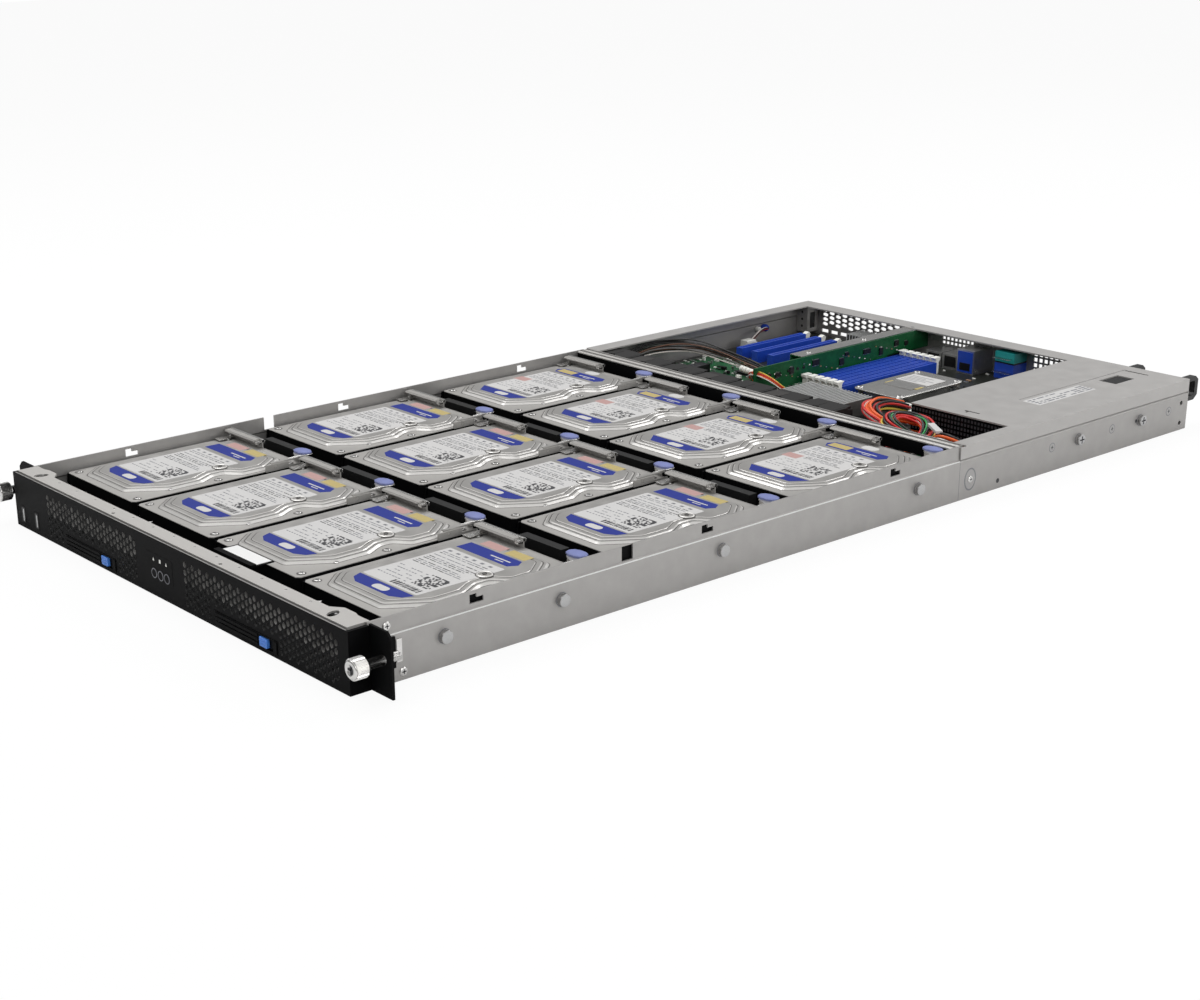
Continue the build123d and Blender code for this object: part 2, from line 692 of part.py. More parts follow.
def make_fan_rotors():
    blades = 5
    blade_pitch = 38.0
    blade_reach = duct_radius - 0.8 - hub_radius
    centre = Vector(0, rotor_front_y + rotor_length / 2, fan_z)
    hub_plane = Plane(origin=(centre.X, rotor_front_y, fan_z), x_dir=(1, 0, 0), z_dir=(0, 1, 0))
    with BuildPart() as fan_rotor:
        with BuildSketch(hub_plane):
            Circle(hub_radius - 0.5)
        extrude(amount=rotor_length)
        for blade in range(blades):
            turn = 360.0 / blades * blade
            radial = Vector(math.cos(math.radians(turn)), 0, math.sin(math.radians(turn)))
            root = centre + radial * (hub_radius - 1.5)
            tangent = radial.cross(Vector(0, 1, 0))
            chord = Vector(0, 1, 0) * math.cos(math.radians(blade_pitch))
            chord = chord + tangent * math.sin(math.radians(blade_pitch))
            with BuildSketch(Plane(origin=root, x_dir=chord, z_dir=radial)):
                Rectangle(rotor_length * 0.8, 0.9)
            extrude(amount=blade_reach + 1.5)
    for index, x in enumerate(fan_xs):
        save(fan_rotor, f"fan_rotor_{index + 1}", (x, 0, 0))


# Mainboard on standoffs
board_xs = (-214.0, 106.0)
board_ys = (604.0, 858.0)


def make_mainboard():
    board_z = board_top_z - board_thickness
    standoff_radius = 2.6
    with BuildPart() as mainboard:
        with BuildSketch(Plane.XY.offset(board_z)):
            with BuildLine():
                Polyline((board_xs[0], board_ys[0] + 26), (board_xs[0], board_ys[1]),
                         (board_xs[1], board_ys[1]), (board_xs[1], board_ys[0]),
                         (board_xs[0] + 40, board_ys[0]), close=True)
            make_face()
            with Locations((-120, 660), (-74, 640)):
                RegularPolygon(2.0, 8, mode=Mode.SUBTRACT)
        extrude(amount=board_thickness)
        for x in (-205.0, -90.0, 60.0, 100.0):
            for y in (640.0, 850.0):
                post((x, y, (sheet + board_z) / 2), standoff_radius, board_z - sheet, "Z", 6)
        block((-150, -112), (612, 624), (board_top_z, 22.0))
        block((-205, -197), (752, 766), (board_top_z, 20.0))
        block((60, 98), (668, 676), (board_top_z, 22.0))
        for x, y in ((-96, 690), (-84, 690), (84, 792), (84, 804), (84, 816), (70, 700), (92, 730)):
            post((x, y, board_top_z + 4), 3.5, 8, "Z")
        for x, y, size in ((-130, 690, 22), (70, 760, 14), (-96, 640, 12)):
            block((x - size / 2, x + size / 2), (y - size / 2, y + size / 2),
                  (board_top_z, board_top_z + 2.2))
    save(mainboard, "mainboard")


# Memory and expansion slots with their end latches
def make_slots():
    memory_pitch = 7.7
    memory_xs = [-54.0 + memory_pitch * index for index in range(6)]
    memory_ys = (679.0, 817.0)
    memory_top = board_top_z + 10.8
    card_xs = (-178.0, -157.7, -137.4)
    card_ys = (722.0, 812.0)
    card_top = board_top_z + 11.0
    with BuildPart() as board_slots:
        for x in memory_xs:
            block((x - 3.55, x + 3.55), (memory_ys[0] + 4, memory_ys[1] - 4), (board_top_z, memory_top))
            block((x - 0.9, x + 0.9), (memory_ys[0] + 7, memory_ys[1] - 7),
                  (memory_top - 3, memory_top), mode=Mode.SUBTRACT)
        for x in card_xs:
            block((x - 3.8, x + 3.8), (card_ys[0], card_ys[1]), (board_top_z, card_top))
            block((x - 0.9, x + 0.9), (card_ys[0] + 3, card_ys[1] - 3), (card_top - 4, card_top),
                  mode=Mode.SUBTRACT)
    save(board_slots, "board_slots")
    with BuildPart() as slot_latches:
        for x in memory_xs:
            for y, turn in ((memory_ys[0] + 4, -1), (memory_ys[1] - 4, 1)):
                with BuildSketch(Plane.YZ.offset(x - 2.6)):
                    with BuildLine():
                        Polyline((y, board_top_z), (y, memory_top + 2.5), (y - turn * 3, memory_top + 4.5),
                                 (y + turn * 6, memory_top + 4.5), (y + turn * 6, memory_top + 2.5),
                                 (y + turn * 4, memory_top), (y + turn * 4, board_top_z), close=True)
                    make_face()
                extrude(amount=5.2)
        for x in card_xs:
            with BuildSketch(Plane.YZ.offset(x - 2.4)):
                with BuildLine():
                    Polyline((card_ys[1], board_top_z), (card_ys[1], card_top - 1),
                             (card_ys[1] + 6, card_top + 1), (card_ys[1] + 8, card_top - 1),
                             (card_ys[1] + 5, board_top_z), close=True)
                make_face()
            extrude(amount=4.8)
    save(slot_latches, "slot_latches")


# Finned heat sinks and the processor retention frame
def make_heat_sinks():
    with BuildPart() as heat_sinks:
        for (x0, x1), (y0, y1), top, fins in (((-26.0, 43.0), (604.0, 657.0), 31.0, 18),
                                              ((-134.0, -84.0), (826.0, 850.0), 29.0, 12)):
            pitch = (x1 - x0) / fins
            fin = 0.8
            base_z = board_top_z + 3.0
            points = [(x0, board_top_z), (x0, top)]
            for index in range(fins):
                left = x0 + index * pitch
                points += [(left + fin, top), (left + fin, base_z), (left + pitch, base_z),
                           (left + pitch, top)]
            points += [(x0 + fins * pitch + fin, top), (x0 + fins * pitch + fin, board_top_z)]
            with BuildSketch(Plane.XZ.offset(-y0)):
                with BuildLine():
                    Polyline(*points, close=True)
                make_face()
            extrude(amount=-(y1 - y0))
    save(heat_sinks, "heat_sinks")
    frame_xs, frame_ys = (-3.5, 50.5), (686.0, 774.0)
    plate_z = 23.4
    with BuildPart() as processor_frame:
        with BuildSketch(Plane.XY.offset(plate_z)):
            with Locations(((frame_xs[0] + frame_xs[1]) / 2, (frame_ys[0] + frame_ys[1]) / 2)):
                Rectangle(frame_xs[1] - frame_xs[0], frame_ys[1] - frame_ys[0])
        extrude(amount=1.6)
        chamfer(processor_frame.edges().filter_by(Axis.Z), 4)
        block((2.5, 44.5), (706, 762), (board_top_z, plate_z))
        block((8, 39), (714, 754), (plate_z + 1.6, plate_z + 2.6))
        for x in (0.5, 46.5):
            for y in (692, 768):
                post((x, y, (board_top_z + plate_z) / 2), 2.6, plate_z - board_top_z, "Z", 6)
    save(processor_frame, "processor_frame")


# Riser card standing on edge, with its silver stiffening bar
def make_riser():
    card_top = body_height - 1.2
    with BuildPart() as riser_card:
        with BuildSketch(Plane.YZ.offset(riser_x)):
            with BuildLine():
                Polyline((620, board_top_z + 6), (620, card_top), (838, card_top),
                         (838, board_top_z + 12), (800, board_top_z + 12), (800, board_top_z),
                         (700, board_top_z), (700, board_top_z + 6), close=True)
            make_face()
        extrude(amount=1.6)
        with BuildSketch(Plane.XZ.offset(-684)):
            with BuildLine():
                Polyline((riser_x - 0.3, 24), (riser_x - 0.3, card_top), (riser_x - 15, card_top),
                         (riser_x - 15, card_top - 7), (riser_x - 14, card_top - 7),
                         (riser_x - 14, card_top - 1), (riser_x - 1.3, card_top - 1),
                         (riser_x - 1.3, 24), close=True)
            make_face()
        extrude(amount=-(body_depth - sheet - 684 - 0.3))
    save(riser_card, "riser_card")


# Rear port blocks standing on the board
def make_rear_ports():
    depths = (26.0, 30.0, 20.0)
    with BuildPart() as rear_ports:
        for ((x0, x1), (z0, z1)), depth in zip(port_boxes, depths):
            block((x0, x1), (body_depth - depth, body_depth + 0.6), (z0, z1))
            block((x0 + 2, x1 - 2), (body_depth - 6, body_depth + 0.6), (z0 + 3, z1 - 3),
                  mode=Mode.SUBTRACT)
        block((-27, -25), (body_depth - 8, body_depth + 0.6), (board_top_z, 27.6))
        block((31, 52), (body_depth - 8, body_depth + 0.6), (25, 28))
    save(rear_ports, "rear_ports")


# Power bay: perforated cage and two pull-out modules
def make_power_bay():
    left, right = psu_left_x, wall_inner - seat_gap
    top = body_height - sheet - seat_gap / 3
    inner_top = top - 0.8
    rear_y = body_depth - sheet
    front_y = psu_front_y + 1.0
    with BuildPart() as power_cage:
        with BuildSketch(Plane.XZ.offset(-front_y)):
            with Locations(((left + right) / 2, (sheet + inner_top) / 2)):
                Rectangle(right - left, inner_top - sheet)
                with GridLocations(12.6, 10.6, 8, 3):
                    Rectangle(8.4, 7.0, mode=Mode.SUBTRACT)
        extrude(amount=-sheet)
        for x0 in (left, right - sheet):
            block((x0, x0 + sheet), (front_y, rear_y), (sheet, inner_top))
        block((left, right), (front_y, rear_y), (inner_top, top))
        mid = (left + right) / 2
        block((mid - 0.5, mid + 0.5), (front_y + 40, rear_y), (sheet, inner_top))
        block((left + 4, right - 4), (front_y + 20, front_y + 22), (sheet, inner_top - 3))
    save(power_cage, "power_cage")
    module_width = (right - left - 2 * sheet - 1.0 - 4 * psu_module_gap) / 2
    x0 = left + sheet + psu_module_gap
    x1 = x0 + module_width
    z0, z1 = sheet + 0.5, inner_top - 0.6
    y0, y1 = front_y + 40, body_depth + 1.5
    with BuildPart() as power_module:
        block((x0, x1), (y0, y1), (z0, z1))
        block((x0 + 5, x0 + 15), (y0 - 12, y0), (z0 + 8, z0 + 11))
        block((x0 + 4, x0 + 26), (y1 - 8, y1), (z0 + 8, z0 + 28), mode=Mode.SUBTRACT)
        handle_xs = (x1 - 9, x1 - 3)
        with BuildSketch(Plane.YZ.offset(handle_xs[0])):
            with BuildLine():
                Polyline((y1, 20.0), (y1 + psu_handle_reach - 5, 20.0),
                         (y1 + psu_handle_reach, 24.0), (y1 + psu_handle_reach, 37.5),
                         (y1 + psu_handle_reach - 4, 40.8), (y1, 40.8), (y1, 37.0),
                         (y1 + psu_handle_reach - 6, 37.0), (y1 + psu_handle_reach - 4.5, 35.5),
                         (y1 + psu_handle_reach - 4.5, 26.0), (y1 + psu_handle_reach - 6, 24.0),
                         (y1, 24.0), close=True)
            make_face()
        extrude(amount=handle_xs[1] - handle_xs[0])
    save(power_module, "power_module_left")
    save(power_module, "power_module_right", (module_width + 2 * psu_module_gap + 1.0, 0, 0))


# Cables held at both ends inside the rear compartment
def limp_tube(points, radius):
    """A tube along straight runs joined by the largest tangent arcs that fit."""
    corners = [Vector(*point) for point in points]
    radii = []
    for before, here, after in zip(corners, corners[1:], corners[2:]):
        shorter = min((here - before).length, (after - here).length)
        turn = (here - before).get_angle(after - here)
        radii.append(0.45 * shorter / math.tan(math.radians(turn / 2)))
    with BuildPart() as tube:
        with BuildLine() as path:
            FilletPolyline(*points, radius=radii)
        start = Plane(origin=path.line @ 0, z_dir=path.line % 0)
        with BuildSketch(start):
            RegularPolygon(radius, 4)
        sweep()
    return tube.part


def make_cables():
    power_radius = 5.0
    power_routes = (
        ((128, 627.8, 18), (124, 612, 20), (108, 598, 30), (88, 600, 37), (78, 618, 38),
         (74, 640, 34), (72, 664, 26)),
        ((158, 627.8, 18), (150, 606, 20), (136, 590, 28), (118, 588, 36), (112, 602, 38),
         (124, 616, 36), (142, 613, 34), (150, 600, 27), (146, 586, 20), (120, 578, 8)),
        ((196, 629.7, 16), (196, 619, 16), (200, 604, 21), (194, 591, 28), (180, 586, 32), (168, 592, 28),
         (160, 580, 14), (140, 572, 7)),
    )
    bundle_route = ((-212.0, 596.0, 20), (-211.5, 606.0, 30), (-209.0, 626.0, 37.5), (-200, 652, 38.5),
                    (-180, 668, 37), (-150, 672, 33), (-118, 672, 28), (-94, 672, 24),
                    (-82, 672, 19.5))
    with BuildPart() as inner_cables:
        for route in power_routes:
            add(limp_tube(route, power_radius))
        add(limp_tube(bundle_route, 4.0))
    save(inner_cables, "inner_cables")


def main():
    make_chassis_base()
    make_rear_wall()
    make_rear_cover_frame()
    make_front_bezel()
    make_cross_members()
    make_rack_ears()
    make_thumbscrews()
    make_ssd_trays()
    make_ssd_latches()
    make_buttons()
    make_bay_guides()
    make_drive_backplanes()
    make_carriers()
    make_latches()
    make_fan_frames()
    make_fan_rotors()
    make_mainboard()
    make_slots()
    make_heat_sinks()
    make_riser()
    make_rear_ports()
    make_power_bay()
    make_cables()
    print(len(written), "nodes written")


main()
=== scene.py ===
import math
import random

import bmesh
import bpy
from mathutils import Matrix, Vector


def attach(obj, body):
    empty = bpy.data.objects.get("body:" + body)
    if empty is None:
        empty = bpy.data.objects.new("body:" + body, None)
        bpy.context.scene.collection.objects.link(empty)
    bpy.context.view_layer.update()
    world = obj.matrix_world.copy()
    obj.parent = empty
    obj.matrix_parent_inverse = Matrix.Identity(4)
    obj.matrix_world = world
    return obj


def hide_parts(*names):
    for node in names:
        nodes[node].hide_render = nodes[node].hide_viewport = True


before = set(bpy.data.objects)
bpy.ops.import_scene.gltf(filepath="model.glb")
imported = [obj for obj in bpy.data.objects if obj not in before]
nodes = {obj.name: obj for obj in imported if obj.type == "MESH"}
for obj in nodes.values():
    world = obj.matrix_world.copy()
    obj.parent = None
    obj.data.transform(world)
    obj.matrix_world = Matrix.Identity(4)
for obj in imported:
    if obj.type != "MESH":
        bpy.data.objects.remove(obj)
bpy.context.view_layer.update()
MM = 0.001

# Sizes shared with the part's source, in millimetres
column_pitch, row_pitch, first_drive_y = 107.7, 181.2, 25.0
drive_width, drive_length, drive_top = 101.6, 147.0, 37.0
half_drive = drive_width / 2
rim_z = drive_top - 2.2
column_xs = [(column - 1.5) * column_pitch for column in range(4)]
row_ys = [first_drive_y + row * row_pitch for row in range(3)]
fan_xs = [59.8 - 41.6 * index for index in reversed(range(7))]
fan_y, fan_z = 562.5, 21.3
bezel_front, bezel_wall, bezel_half, bezel_top = -15.8, 2.0, 219.8, 42.2
bezel_back = bezel_front + bezel_wall
ssd_x, ssd_z, ssd_slot = 103.4, 7.3, (76.0, 10.4)
usb_xs, usb_z = (-208.0, -186.5), 10.8
button_xs, button_z = (-10.7, -2.1, 6.2), 17.2
wall_x = 219.0
stud_ys, stud_z = (56.6, 152.5, 298.4, 506.7, 707.5, 793.4), 20.3
flush_ys, flush_z = (672.3, 753.7, 835.1), 20.0
dimple = (569, 15)
joggle_y = 555.6
notch_ys = (83.5, 211.0, 285.4, 481.2)
double_rail_ys = (548.0, 555.4)
strip_top = 43.5
board_top = 13.6
memory_xs = [-54.0 + 7.7 * k for k in range(6)]
expansion_xs = (-178.0, -157.7, -137.4)
lid_top = 25.0
riser_face, riser_end = -60.4, 861.0
wall_ys = (861.8, 863.0)
cage_front = 629.0
module_xs, module_end = {"left": 111.0, "right": 163.8}, 864.5
lens_pixels, photo_size, photo_centre = 1966.5, (1200, 1000), (505.5, 578.2)
camera_place, camera_turns = (1.120388, -0.623795, 0.469554), (51.013, 20.051, -0.961)


# Materials
def srgb(*values):
    """A colour given in 0 to 255 screen values, as linear numbers."""
    linear = []
    for value in values:
        c = value / 255
        linear.append(c / 12.92 if c <= 0.04045 else ((c + 0.055) / 1.055) ** 2.4)
    return (*linear, 1.0)


def shade(colour, factor):
    return (*[min(1.0, c * factor) for c in colour[:3]], 1.0)


def add_node(tree, kind, **values):
    """A shader node with some inputs set; an underscore in a keyword stands for a space."""
    node = tree.nodes.new(f"ShaderNode{kind}")
    for name, value in values.items():
        node.inputs[name.replace("_", " ")].default_value = value
    return node


def surface(name, rgb, rough=0.5, metal=0.0, scale=300.0, tint=0.06, bump=0.05,
            stretch=(1, 1, 1), edge_lightening=0.0, detail=4.0, shine=0.5):
    """A surface whose colour and roughness drift and whose bump has a fine grain."""
    colour = srgb(*rgb)
    mat = bpy.data.materials.new(name)
    mat.use_nodes = True
    tree = mat.node_tree
    shader = tree.nodes["Principled BSDF"]
    shader.inputs["Metallic"].default_value = metal
    shader.inputs["Specular IOR Level"].default_value = shine
    coords = add_node(tree, "TexCoord")
    mapping = add_node(tree, "Mapping", Scale=stretch)
    noise = add_node(tree, "TexNoise", Scale=scale, Detail=detail)
    ramp = add_node(tree, "ValToRGB")
    ramp.color_ramp.elements[0].position = 0.3
    ramp.color_ramp.elements[0].color = shade(colour, 1 - tint)
    ramp.color_ramp.elements[1].position = 0.7
    ramp.color_ramp.elements[1].color = shade(colour, 1 + tint)
    spread = add_node(tree, "MapRange", To_Min=max(0.02, rough - 0.07), To_Max=min(1.0, rough + 0.07))
    relief = add_node(tree, "Bump", Strength=bump, Distance=0.0003)
    link = tree.links.new
    link(coords.outputs["Object"], mapping.inputs["Vector"])
    link(mapping.outputs["Vector"], noise.inputs["Vector"])
    link(noise.outputs["Fac"], ramp.inputs["Fac"])
    link(noise.outputs["Fac"], spread.inputs["Value"])
    link(noise.outputs["Fac"], relief.inputs["Height"])
    link(spread.outputs["Result"], shader.inputs["Roughness"])
    link(relief.outputs["Normal"], shader.inputs["Normal"])
    last = ramp.outputs["Color"]
    # Convex edges, found by pointiness, are mixed toward one and a half times the colour
    if edge_lightening:
        geometry = add_node(tree, "NewGeometry")
        edge = add_node(tree, "MapRange", From_Min=0.52, From_Max=0.62, To_Max=edge_lightening)
        mix = add_node(tree, "Mix")
        mix.data_type = "RGBA"
        mix.inputs[7].default_value = shade(colour, 1.5)
        link(geometry.outputs["Pointiness"], edge.inputs["Value"])
        link(edge.outputs["Result"], mix.inputs[0])
        link(last, mix.inputs[6])
        last = mix.outputs[2]
    link(last, shader.inputs["Base Color"])
    return mat


def split_along(name, low, high, level, axis="Z", high_metal=0.0):
    """One finish below a level along an axis of the piece's own frame and a colour above it."""
    mat = low.copy()
    mat.name = name
    tree = mat.node_tree
    shader = tree.nodes["Principled BSDF"]
    below = shader.inputs["Base Color"].links[0].from_socket
    coords = [n for n in tree.nodes if n.type == "TEX_COORD"][0]
    parts = add_node(tree, "SeparateXYZ")
    test = add_node(tree, "Math")
    test.operation = "GREATER_THAN"
    test.inputs[1].default_value = level * MM
    mix = add_node(tree, "Mix")
    mix.data_type = "RGBA"
    mix.inputs[7].default_value = srgb(*high)
    metal = add_node(tree, "MapRange", To_Min=shader.inputs["Metallic"].default_value, To_Max=high_metal)
    link = tree.links.new
    link(coords.outputs["Object"], parts.inputs["Vector"])
    link(parts.outputs[axis], test.inputs[0])
    link(test.outputs["Value"], mix.inputs[0])
    link(test.outputs["Value"], metal.inputs["Value"])
    link(below, mix.inputs[6])
    link(mix.outputs[2], shader.inputs["Base Color"])
    link(metal.outputs["Result"], shader.inputs["Metallic"])
    return mat


# Metals: roughness, metalness, grain scale, tint and bump
steel = surface("zinc_steel", (160, 158, 156), 0.48, 0.62, 90, 0.05, 0.04, detail=6)
cover_zinc = surface("cover_zinc", (170, 168, 166), 0.52, 0.5, 70, 0.04, 0.03, detail=6)
bright = surface("bright_steel", (208, 207, 205), 0.24, 1.0, 200, 0.04, 0.03)
brushed = surface("brushed_side", (160, 159, 158), 0.4, 0.8, 60, 0.05, 0.05, stretch=(1, 0.05, 3))
drive_metal = surface("drive_metal", (178, 176, 173), 0.34, 0.7, 60, 0.08, 0.03)
# Painted shade: dark grey for creases at slope feet, rings round screws, strips behind rails and fin sides
painted_shade_grey = surface("painted_shade_grey", (88, 86, 84), 0.45, 0.3, 260, 0.05, 0.03)
stud_metal = surface("stud_metal", (168, 168, 168), 0.2, 1.0, 200, 0.04, 0.03)
# Painted highlight: light metal for the sloping sides of pressed levels and the pivot cap's ring
ridge_painted_highlight = surface("ridge_painted_highlight", (216, 214, 211), 0.32, 0.5, 260, 0.03, 0.02)
cast_metal = surface("cast_metal", (162, 160, 157), 0.42, 0.7, 500, 0.05, 0.08)
# Fin metal, also used as a painted highlight on fin tops and front edges
fin_metal_and_highlight = surface("fin_metal_and_highlight", (196, 197, 196), 0.4, 0.4, 200, 0.06, 0.04)
port_metal = surface("port_metal", (176, 176, 176), 0.3, 0.9, 200, 0.05, 0.03)
# Painted highlight and painted shade for the linings of the upper and lower bezel holes
hole_painted_highlight = surface("upper_hole_painted_highlight", (128, 127, 125), 0.4, 0.5, 120, 0.45, 0.05)
hole_painted_shade = surface("lower_hole_painted_shade", (64, 64, 64), 0.4, 0.3, 500, 0.3, 0.05)

# Paints, plastics and boards
# Black paint, also used for dark sheets and lower faces of painted shade
black_paint_and_shade = surface("black_paint_and_shade", (9, 9, 10), 0.55, 0.0, 500, 0.15, 0.08, edge_lightening=0.03, shine=0.06)
black_plastic = surface("black_plastic", (7, 7, 8), 0.5, 0.0, 900, 0.2, 0.12, shine=0.05)
dark_plastic = surface("fan_plastic", (24, 23, 23), 0.45, 0.0, 700, 0.2, 0.1, shine=0.3)
mid_plastic = surface("fan_label", (50, 48, 47), 0.5, 0.0, 600, 0.1, 0.05, shine=0.3)
shroud_dark = surface("shroud_dark", (15, 15, 15), 0.45, 0.0, 400, 0.2, 0.1, shine=0.3)
pad_blue = surface("pad_blue", (116, 124, 172), 0.5, 0.0, 300, 0.08, 0.04, shine=0.2)
tab_blue = surface("tab_blue", (70, 128, 214), 0.4, 0.0, 300, 0.08, 0.04)
board_green = surface("board_green", (10, 76, 40), 0.4, 0.0, 240, 0.2, 0.1, shine=0.3)
board_dark = surface("board_dark", (34, 36, 32), 0.4, 0.0, 260, 0.25, 0.12, shine=0.3)
slot_blue = surface("slot_blue", (22, 62, 164), 0.4, 0.0, 300, 0.08, 0.04)
latch_white = surface("latch_white", (226, 226, 220), 0.45, 0.0, 300, 0.04, 0.03)
# Black plastic of ports, also used as painted shade in holes and cut-outs
port_black_and_shade = surface("port_black_and_shade", (14, 14, 15), 0.4, 0.0, 300, 0.1, 0.04, shine=0.3)
port_teal = surface("port_teal", (24, 140, 138), 0.45, 0.0, 300, 0.06, 0.04)
chip_black = surface("chip_black", (20, 20, 22), 0.4, 0.0, 800, 0.15, 0.05, shine=0.3)
tan = surface("coil_tan", (140, 110, 84), 0.6, 0.0, 400, 0.15, 0.1)

# Papers and print
label_white = surface("label_white", (192, 191, 190), 0.6, 0.0, 500, 0.02, 0.01, shine=0.2)
# White for paper, also used as a painted highlight along the wall's joggle
paper_white_and_highlight = surface("paper_white_and_highlight", (222, 222, 221), 0.55, 0.0, 500, 0.02, 0.01, shine=0.2)
label_blue = surface("label_blue", (34, 48, 130), 0.5, 0.0, 400, 0.05, 0.01, shine=0.15)
label_pink = surface("label_pink", (176, 142, 138), 0.5, 0.0, 400, 0.04, 0.01, shine=0.2)
label_gold = surface("label_gold", (176, 160, 106), 0.5, 0.0, 400, 0.05, 0.01, shine=0.2)
print_grey = surface("print_grey", (112, 113, 118), 0.6, 0.0, 400, 0.05, 0.01)
# Dark ink for print, also used as painted shade in screw recesses and openings
dark_print_and_shade = surface("dark_print_and_shade", (44, 44, 48), 0.6, 0.0, 400, 0.05, 0.01)

WIRE_COLOURS = {
    "red": (196, 36, 34), "orange": (226, 96, 34), "black": (22, 20, 20), "white": (212, 204, 198),
    "yellow": (216, 186, 70), "green": (34, 150, 74), "blue": (36, 60, 150), "grey": (120, 116, 114),
    "brown": (96, 62, 44), "pink": (206, 130, 120),
}
wire_mats = {name: surface(f"wire_{name}", rgb, 0.4, 0.0, 500, 0.08, 0.05)
             for name, rgb in WIRE_COLOURS.items()}


# Outlines, in millimetres
def inset(outline, reach):
    """Every side of an outline moved inwards by the same reach."""
    count = len(outline)
    area = sum(a[0] * b[1] - b[0] * a[1] for a, b in zip(outline, outline[1:] + outline[:1]))
    way = 1 if area > 0 else -1
    moved = []
    for i, (x, y) in enumerate(outline):
        before, after = outline[i - 1], outline[(i + 1) % count]
        first = Vector((x - before[0], y - before[1])).normalized()
        second = Vector((after[0] - x, after[1] - y)).normalized()
        normal_a = Vector((-first.y, first.x)) * way
        normal_b = Vector((-second.y, second.x)) * way
        middle = normal_a + normal_b
        share = reach / max(0.3, middle.dot(normal_a))
        moved.append((x + middle.x * share, y + middle.y * share))
    return moved


def eased(outline, reach, steps=3):
    """Every corner of an outline rounded off within a short reach."""
    points = []
    count = len(outline)
    for i, (x, y) in enumerate(outline):
        ends = []
        for other in (outline[i - 1], outline[(i + 1) % count]):
            dx, dy = other[0] - x, other[1] - y
            length = math.hypot(dx, dy)
            share = min(reach, length * 0.45) / length
            ends.append((x + dx * share, y + dy * share))
        for k in range(steps + 1):
            t = k / steps
            a, b, c = (1 - t) ** 2, 2 * t * (1 - t), t * t
            points.append((a * ends[0][0] + b * x + c * ends[1][0], a * ends[0][1] + b * y + c * ends[1][1]))
    return points


def clipped(outline):
    """Each side kept over its middle half, which cuts every corner off."""
    cut = []
    for (ax, ay), (bx, by) in zip(outline, outline[1:] + outline[:1]):
        cut.append((ax * 0.75 + bx * 0.25, ay * 0.75 + by * 0.25))
        cut.append((ax * 0.25 + bx * 0.75, ay * 0.25 + by * 0.75))
    return cut


def rounded(x0, x1, y0, y1, r, steps=4):
    """A rectangle with round corners."""
    corners = ((x1 - r, y1 - r, 0), (x0 + r, y1 - r, 90), (x0 + r, y0 + r, 180), (x1 - r, y0 + r, 270))
    points = []
    for cx, cy, start in corners:
        for k in range(steps + 1):
            turn = math.radians(start + 90 * k / steps)
            points.append((cx + r * math.cos(turn), cy + r * math.sin(turn)))
    return points


def oval(centre, half_u, half_v, sides=32):
    turns = [2 * math.pi * i / sides for i in range(sides)]
    return [(centre[0] + half_u * math.cos(turn), centre[1] + half_v * math.sin(turn)) for turn in turns]


# Pieces, in millimetres
def place(u, v, level, axis):
    """A point of an outline at a level along an axis."""
    return {"Z": (u, v, level), "Y": (u, level, v), "X": (level, u, v)}[axis]


def bands(sides, rings):
    """The faces between rings of points, and the two faces that close the ends."""
    walls = []
    for k in range(rings - 1):
        for i in range(sides):
            a, b = k * sides + i, k * sides + (i + 1) % sides
            walls.append((a, b, b + sides, a + sides))
    last = (rings - 1) * sides
    return walls, [tuple(reversed(range(sides))), tuple(range(last, last + sides))]


class Form:
    """Collects faces in millimetres, each with a finish, and makes one piece of them."""

    def __init__(self):
        self.verts, self.faces, self.marks, self.smooth, self.mats = [], [], [], [], []

    def add(self, verts, faces, mat, smooth=False):
        if mat not in self.mats:
            self.mats.append(mat)
        start, mark = len(self.verts), self.mats.index(mat)
        self.verts += [tuple(v) for v in verts]
        for face in faces:
            self.faces.append([start + i for i in face])
            self.marks.append(mark)
            self.smooth.append(smooth)

    def box(self, xs, ys, zs, mat):
        verts = [(x, y, z) for z in sorted(zs) for y in sorted(ys) for x in sorted(xs)]
        faces = [(0, 2, 3, 1), (4, 5, 7, 6), (0, 1, 5, 4), (2, 6, 7, 3), (0, 4, 6, 2), (1, 3, 7, 5)]
        self.add(verts, faces, mat)

    def prism(self, outline, low, high, mat, axis="Z", shrink=0.0, slope=None):
        """An outline carried along an axis; shrink moves the far outline inwards, which makes slopes."""
        far = inset(outline, shrink) if shrink else outline
        rings = [place(u, v, low, axis) for u, v in outline] + [place(u, v, high, axis) for u, v in far]
        walls, ends = bands(len(outline), 2)
        self.add(rings, walls, slope or mat)
        self.add(rings, ends, mat)

    def lathe(self, centre, profile, mat, axis="Z", sides=32):
        """A turned form: profile is (radius, level) from one end to the other."""
        rings = [place(u, v, level, axis) for r, level in profile for u, v in oval(centre, r, r, sides)]
        walls, ends = bands(sides, len(profile))
        self.add(rings, walls, mat, True)
        self.add(rings, ends, mat)

    def rod(self, centre, radius, low, high, mat, axis="Z", sides=24):
        self.lathe(centre, ((radius, low), (radius, high)), mat, axis, sides)

    def mesh(self, name):
        mesh = bpy.data.meshes.new(name)
        mesh.from_pydata([(x * MM, y * MM, z * MM) for x, y, z in self.verts], [], self.faces)
        for mat in self.mats:
            mesh.materials.append(mat)
        for polygon, mark, smooth in zip(mesh.polygons, self.marks, self.smooth):
            polygon.material_index = mark
            polygon.use_smooth = smooth
        work = bmesh.new()
        work.from_mesh(mesh)
        bmesh.ops.remove_doubles(work, verts=work.verts, dist=1e-6)
        bmesh.ops.recalc_face_normals(work, faces=work.faces)
        work.to_mesh(mesh)
        work.free()
        return mesh

    def build(self, name, body="chassis", bevel=0.0, replaces=()):
        show(name, self.mesh(name), body, bevel, replaces)


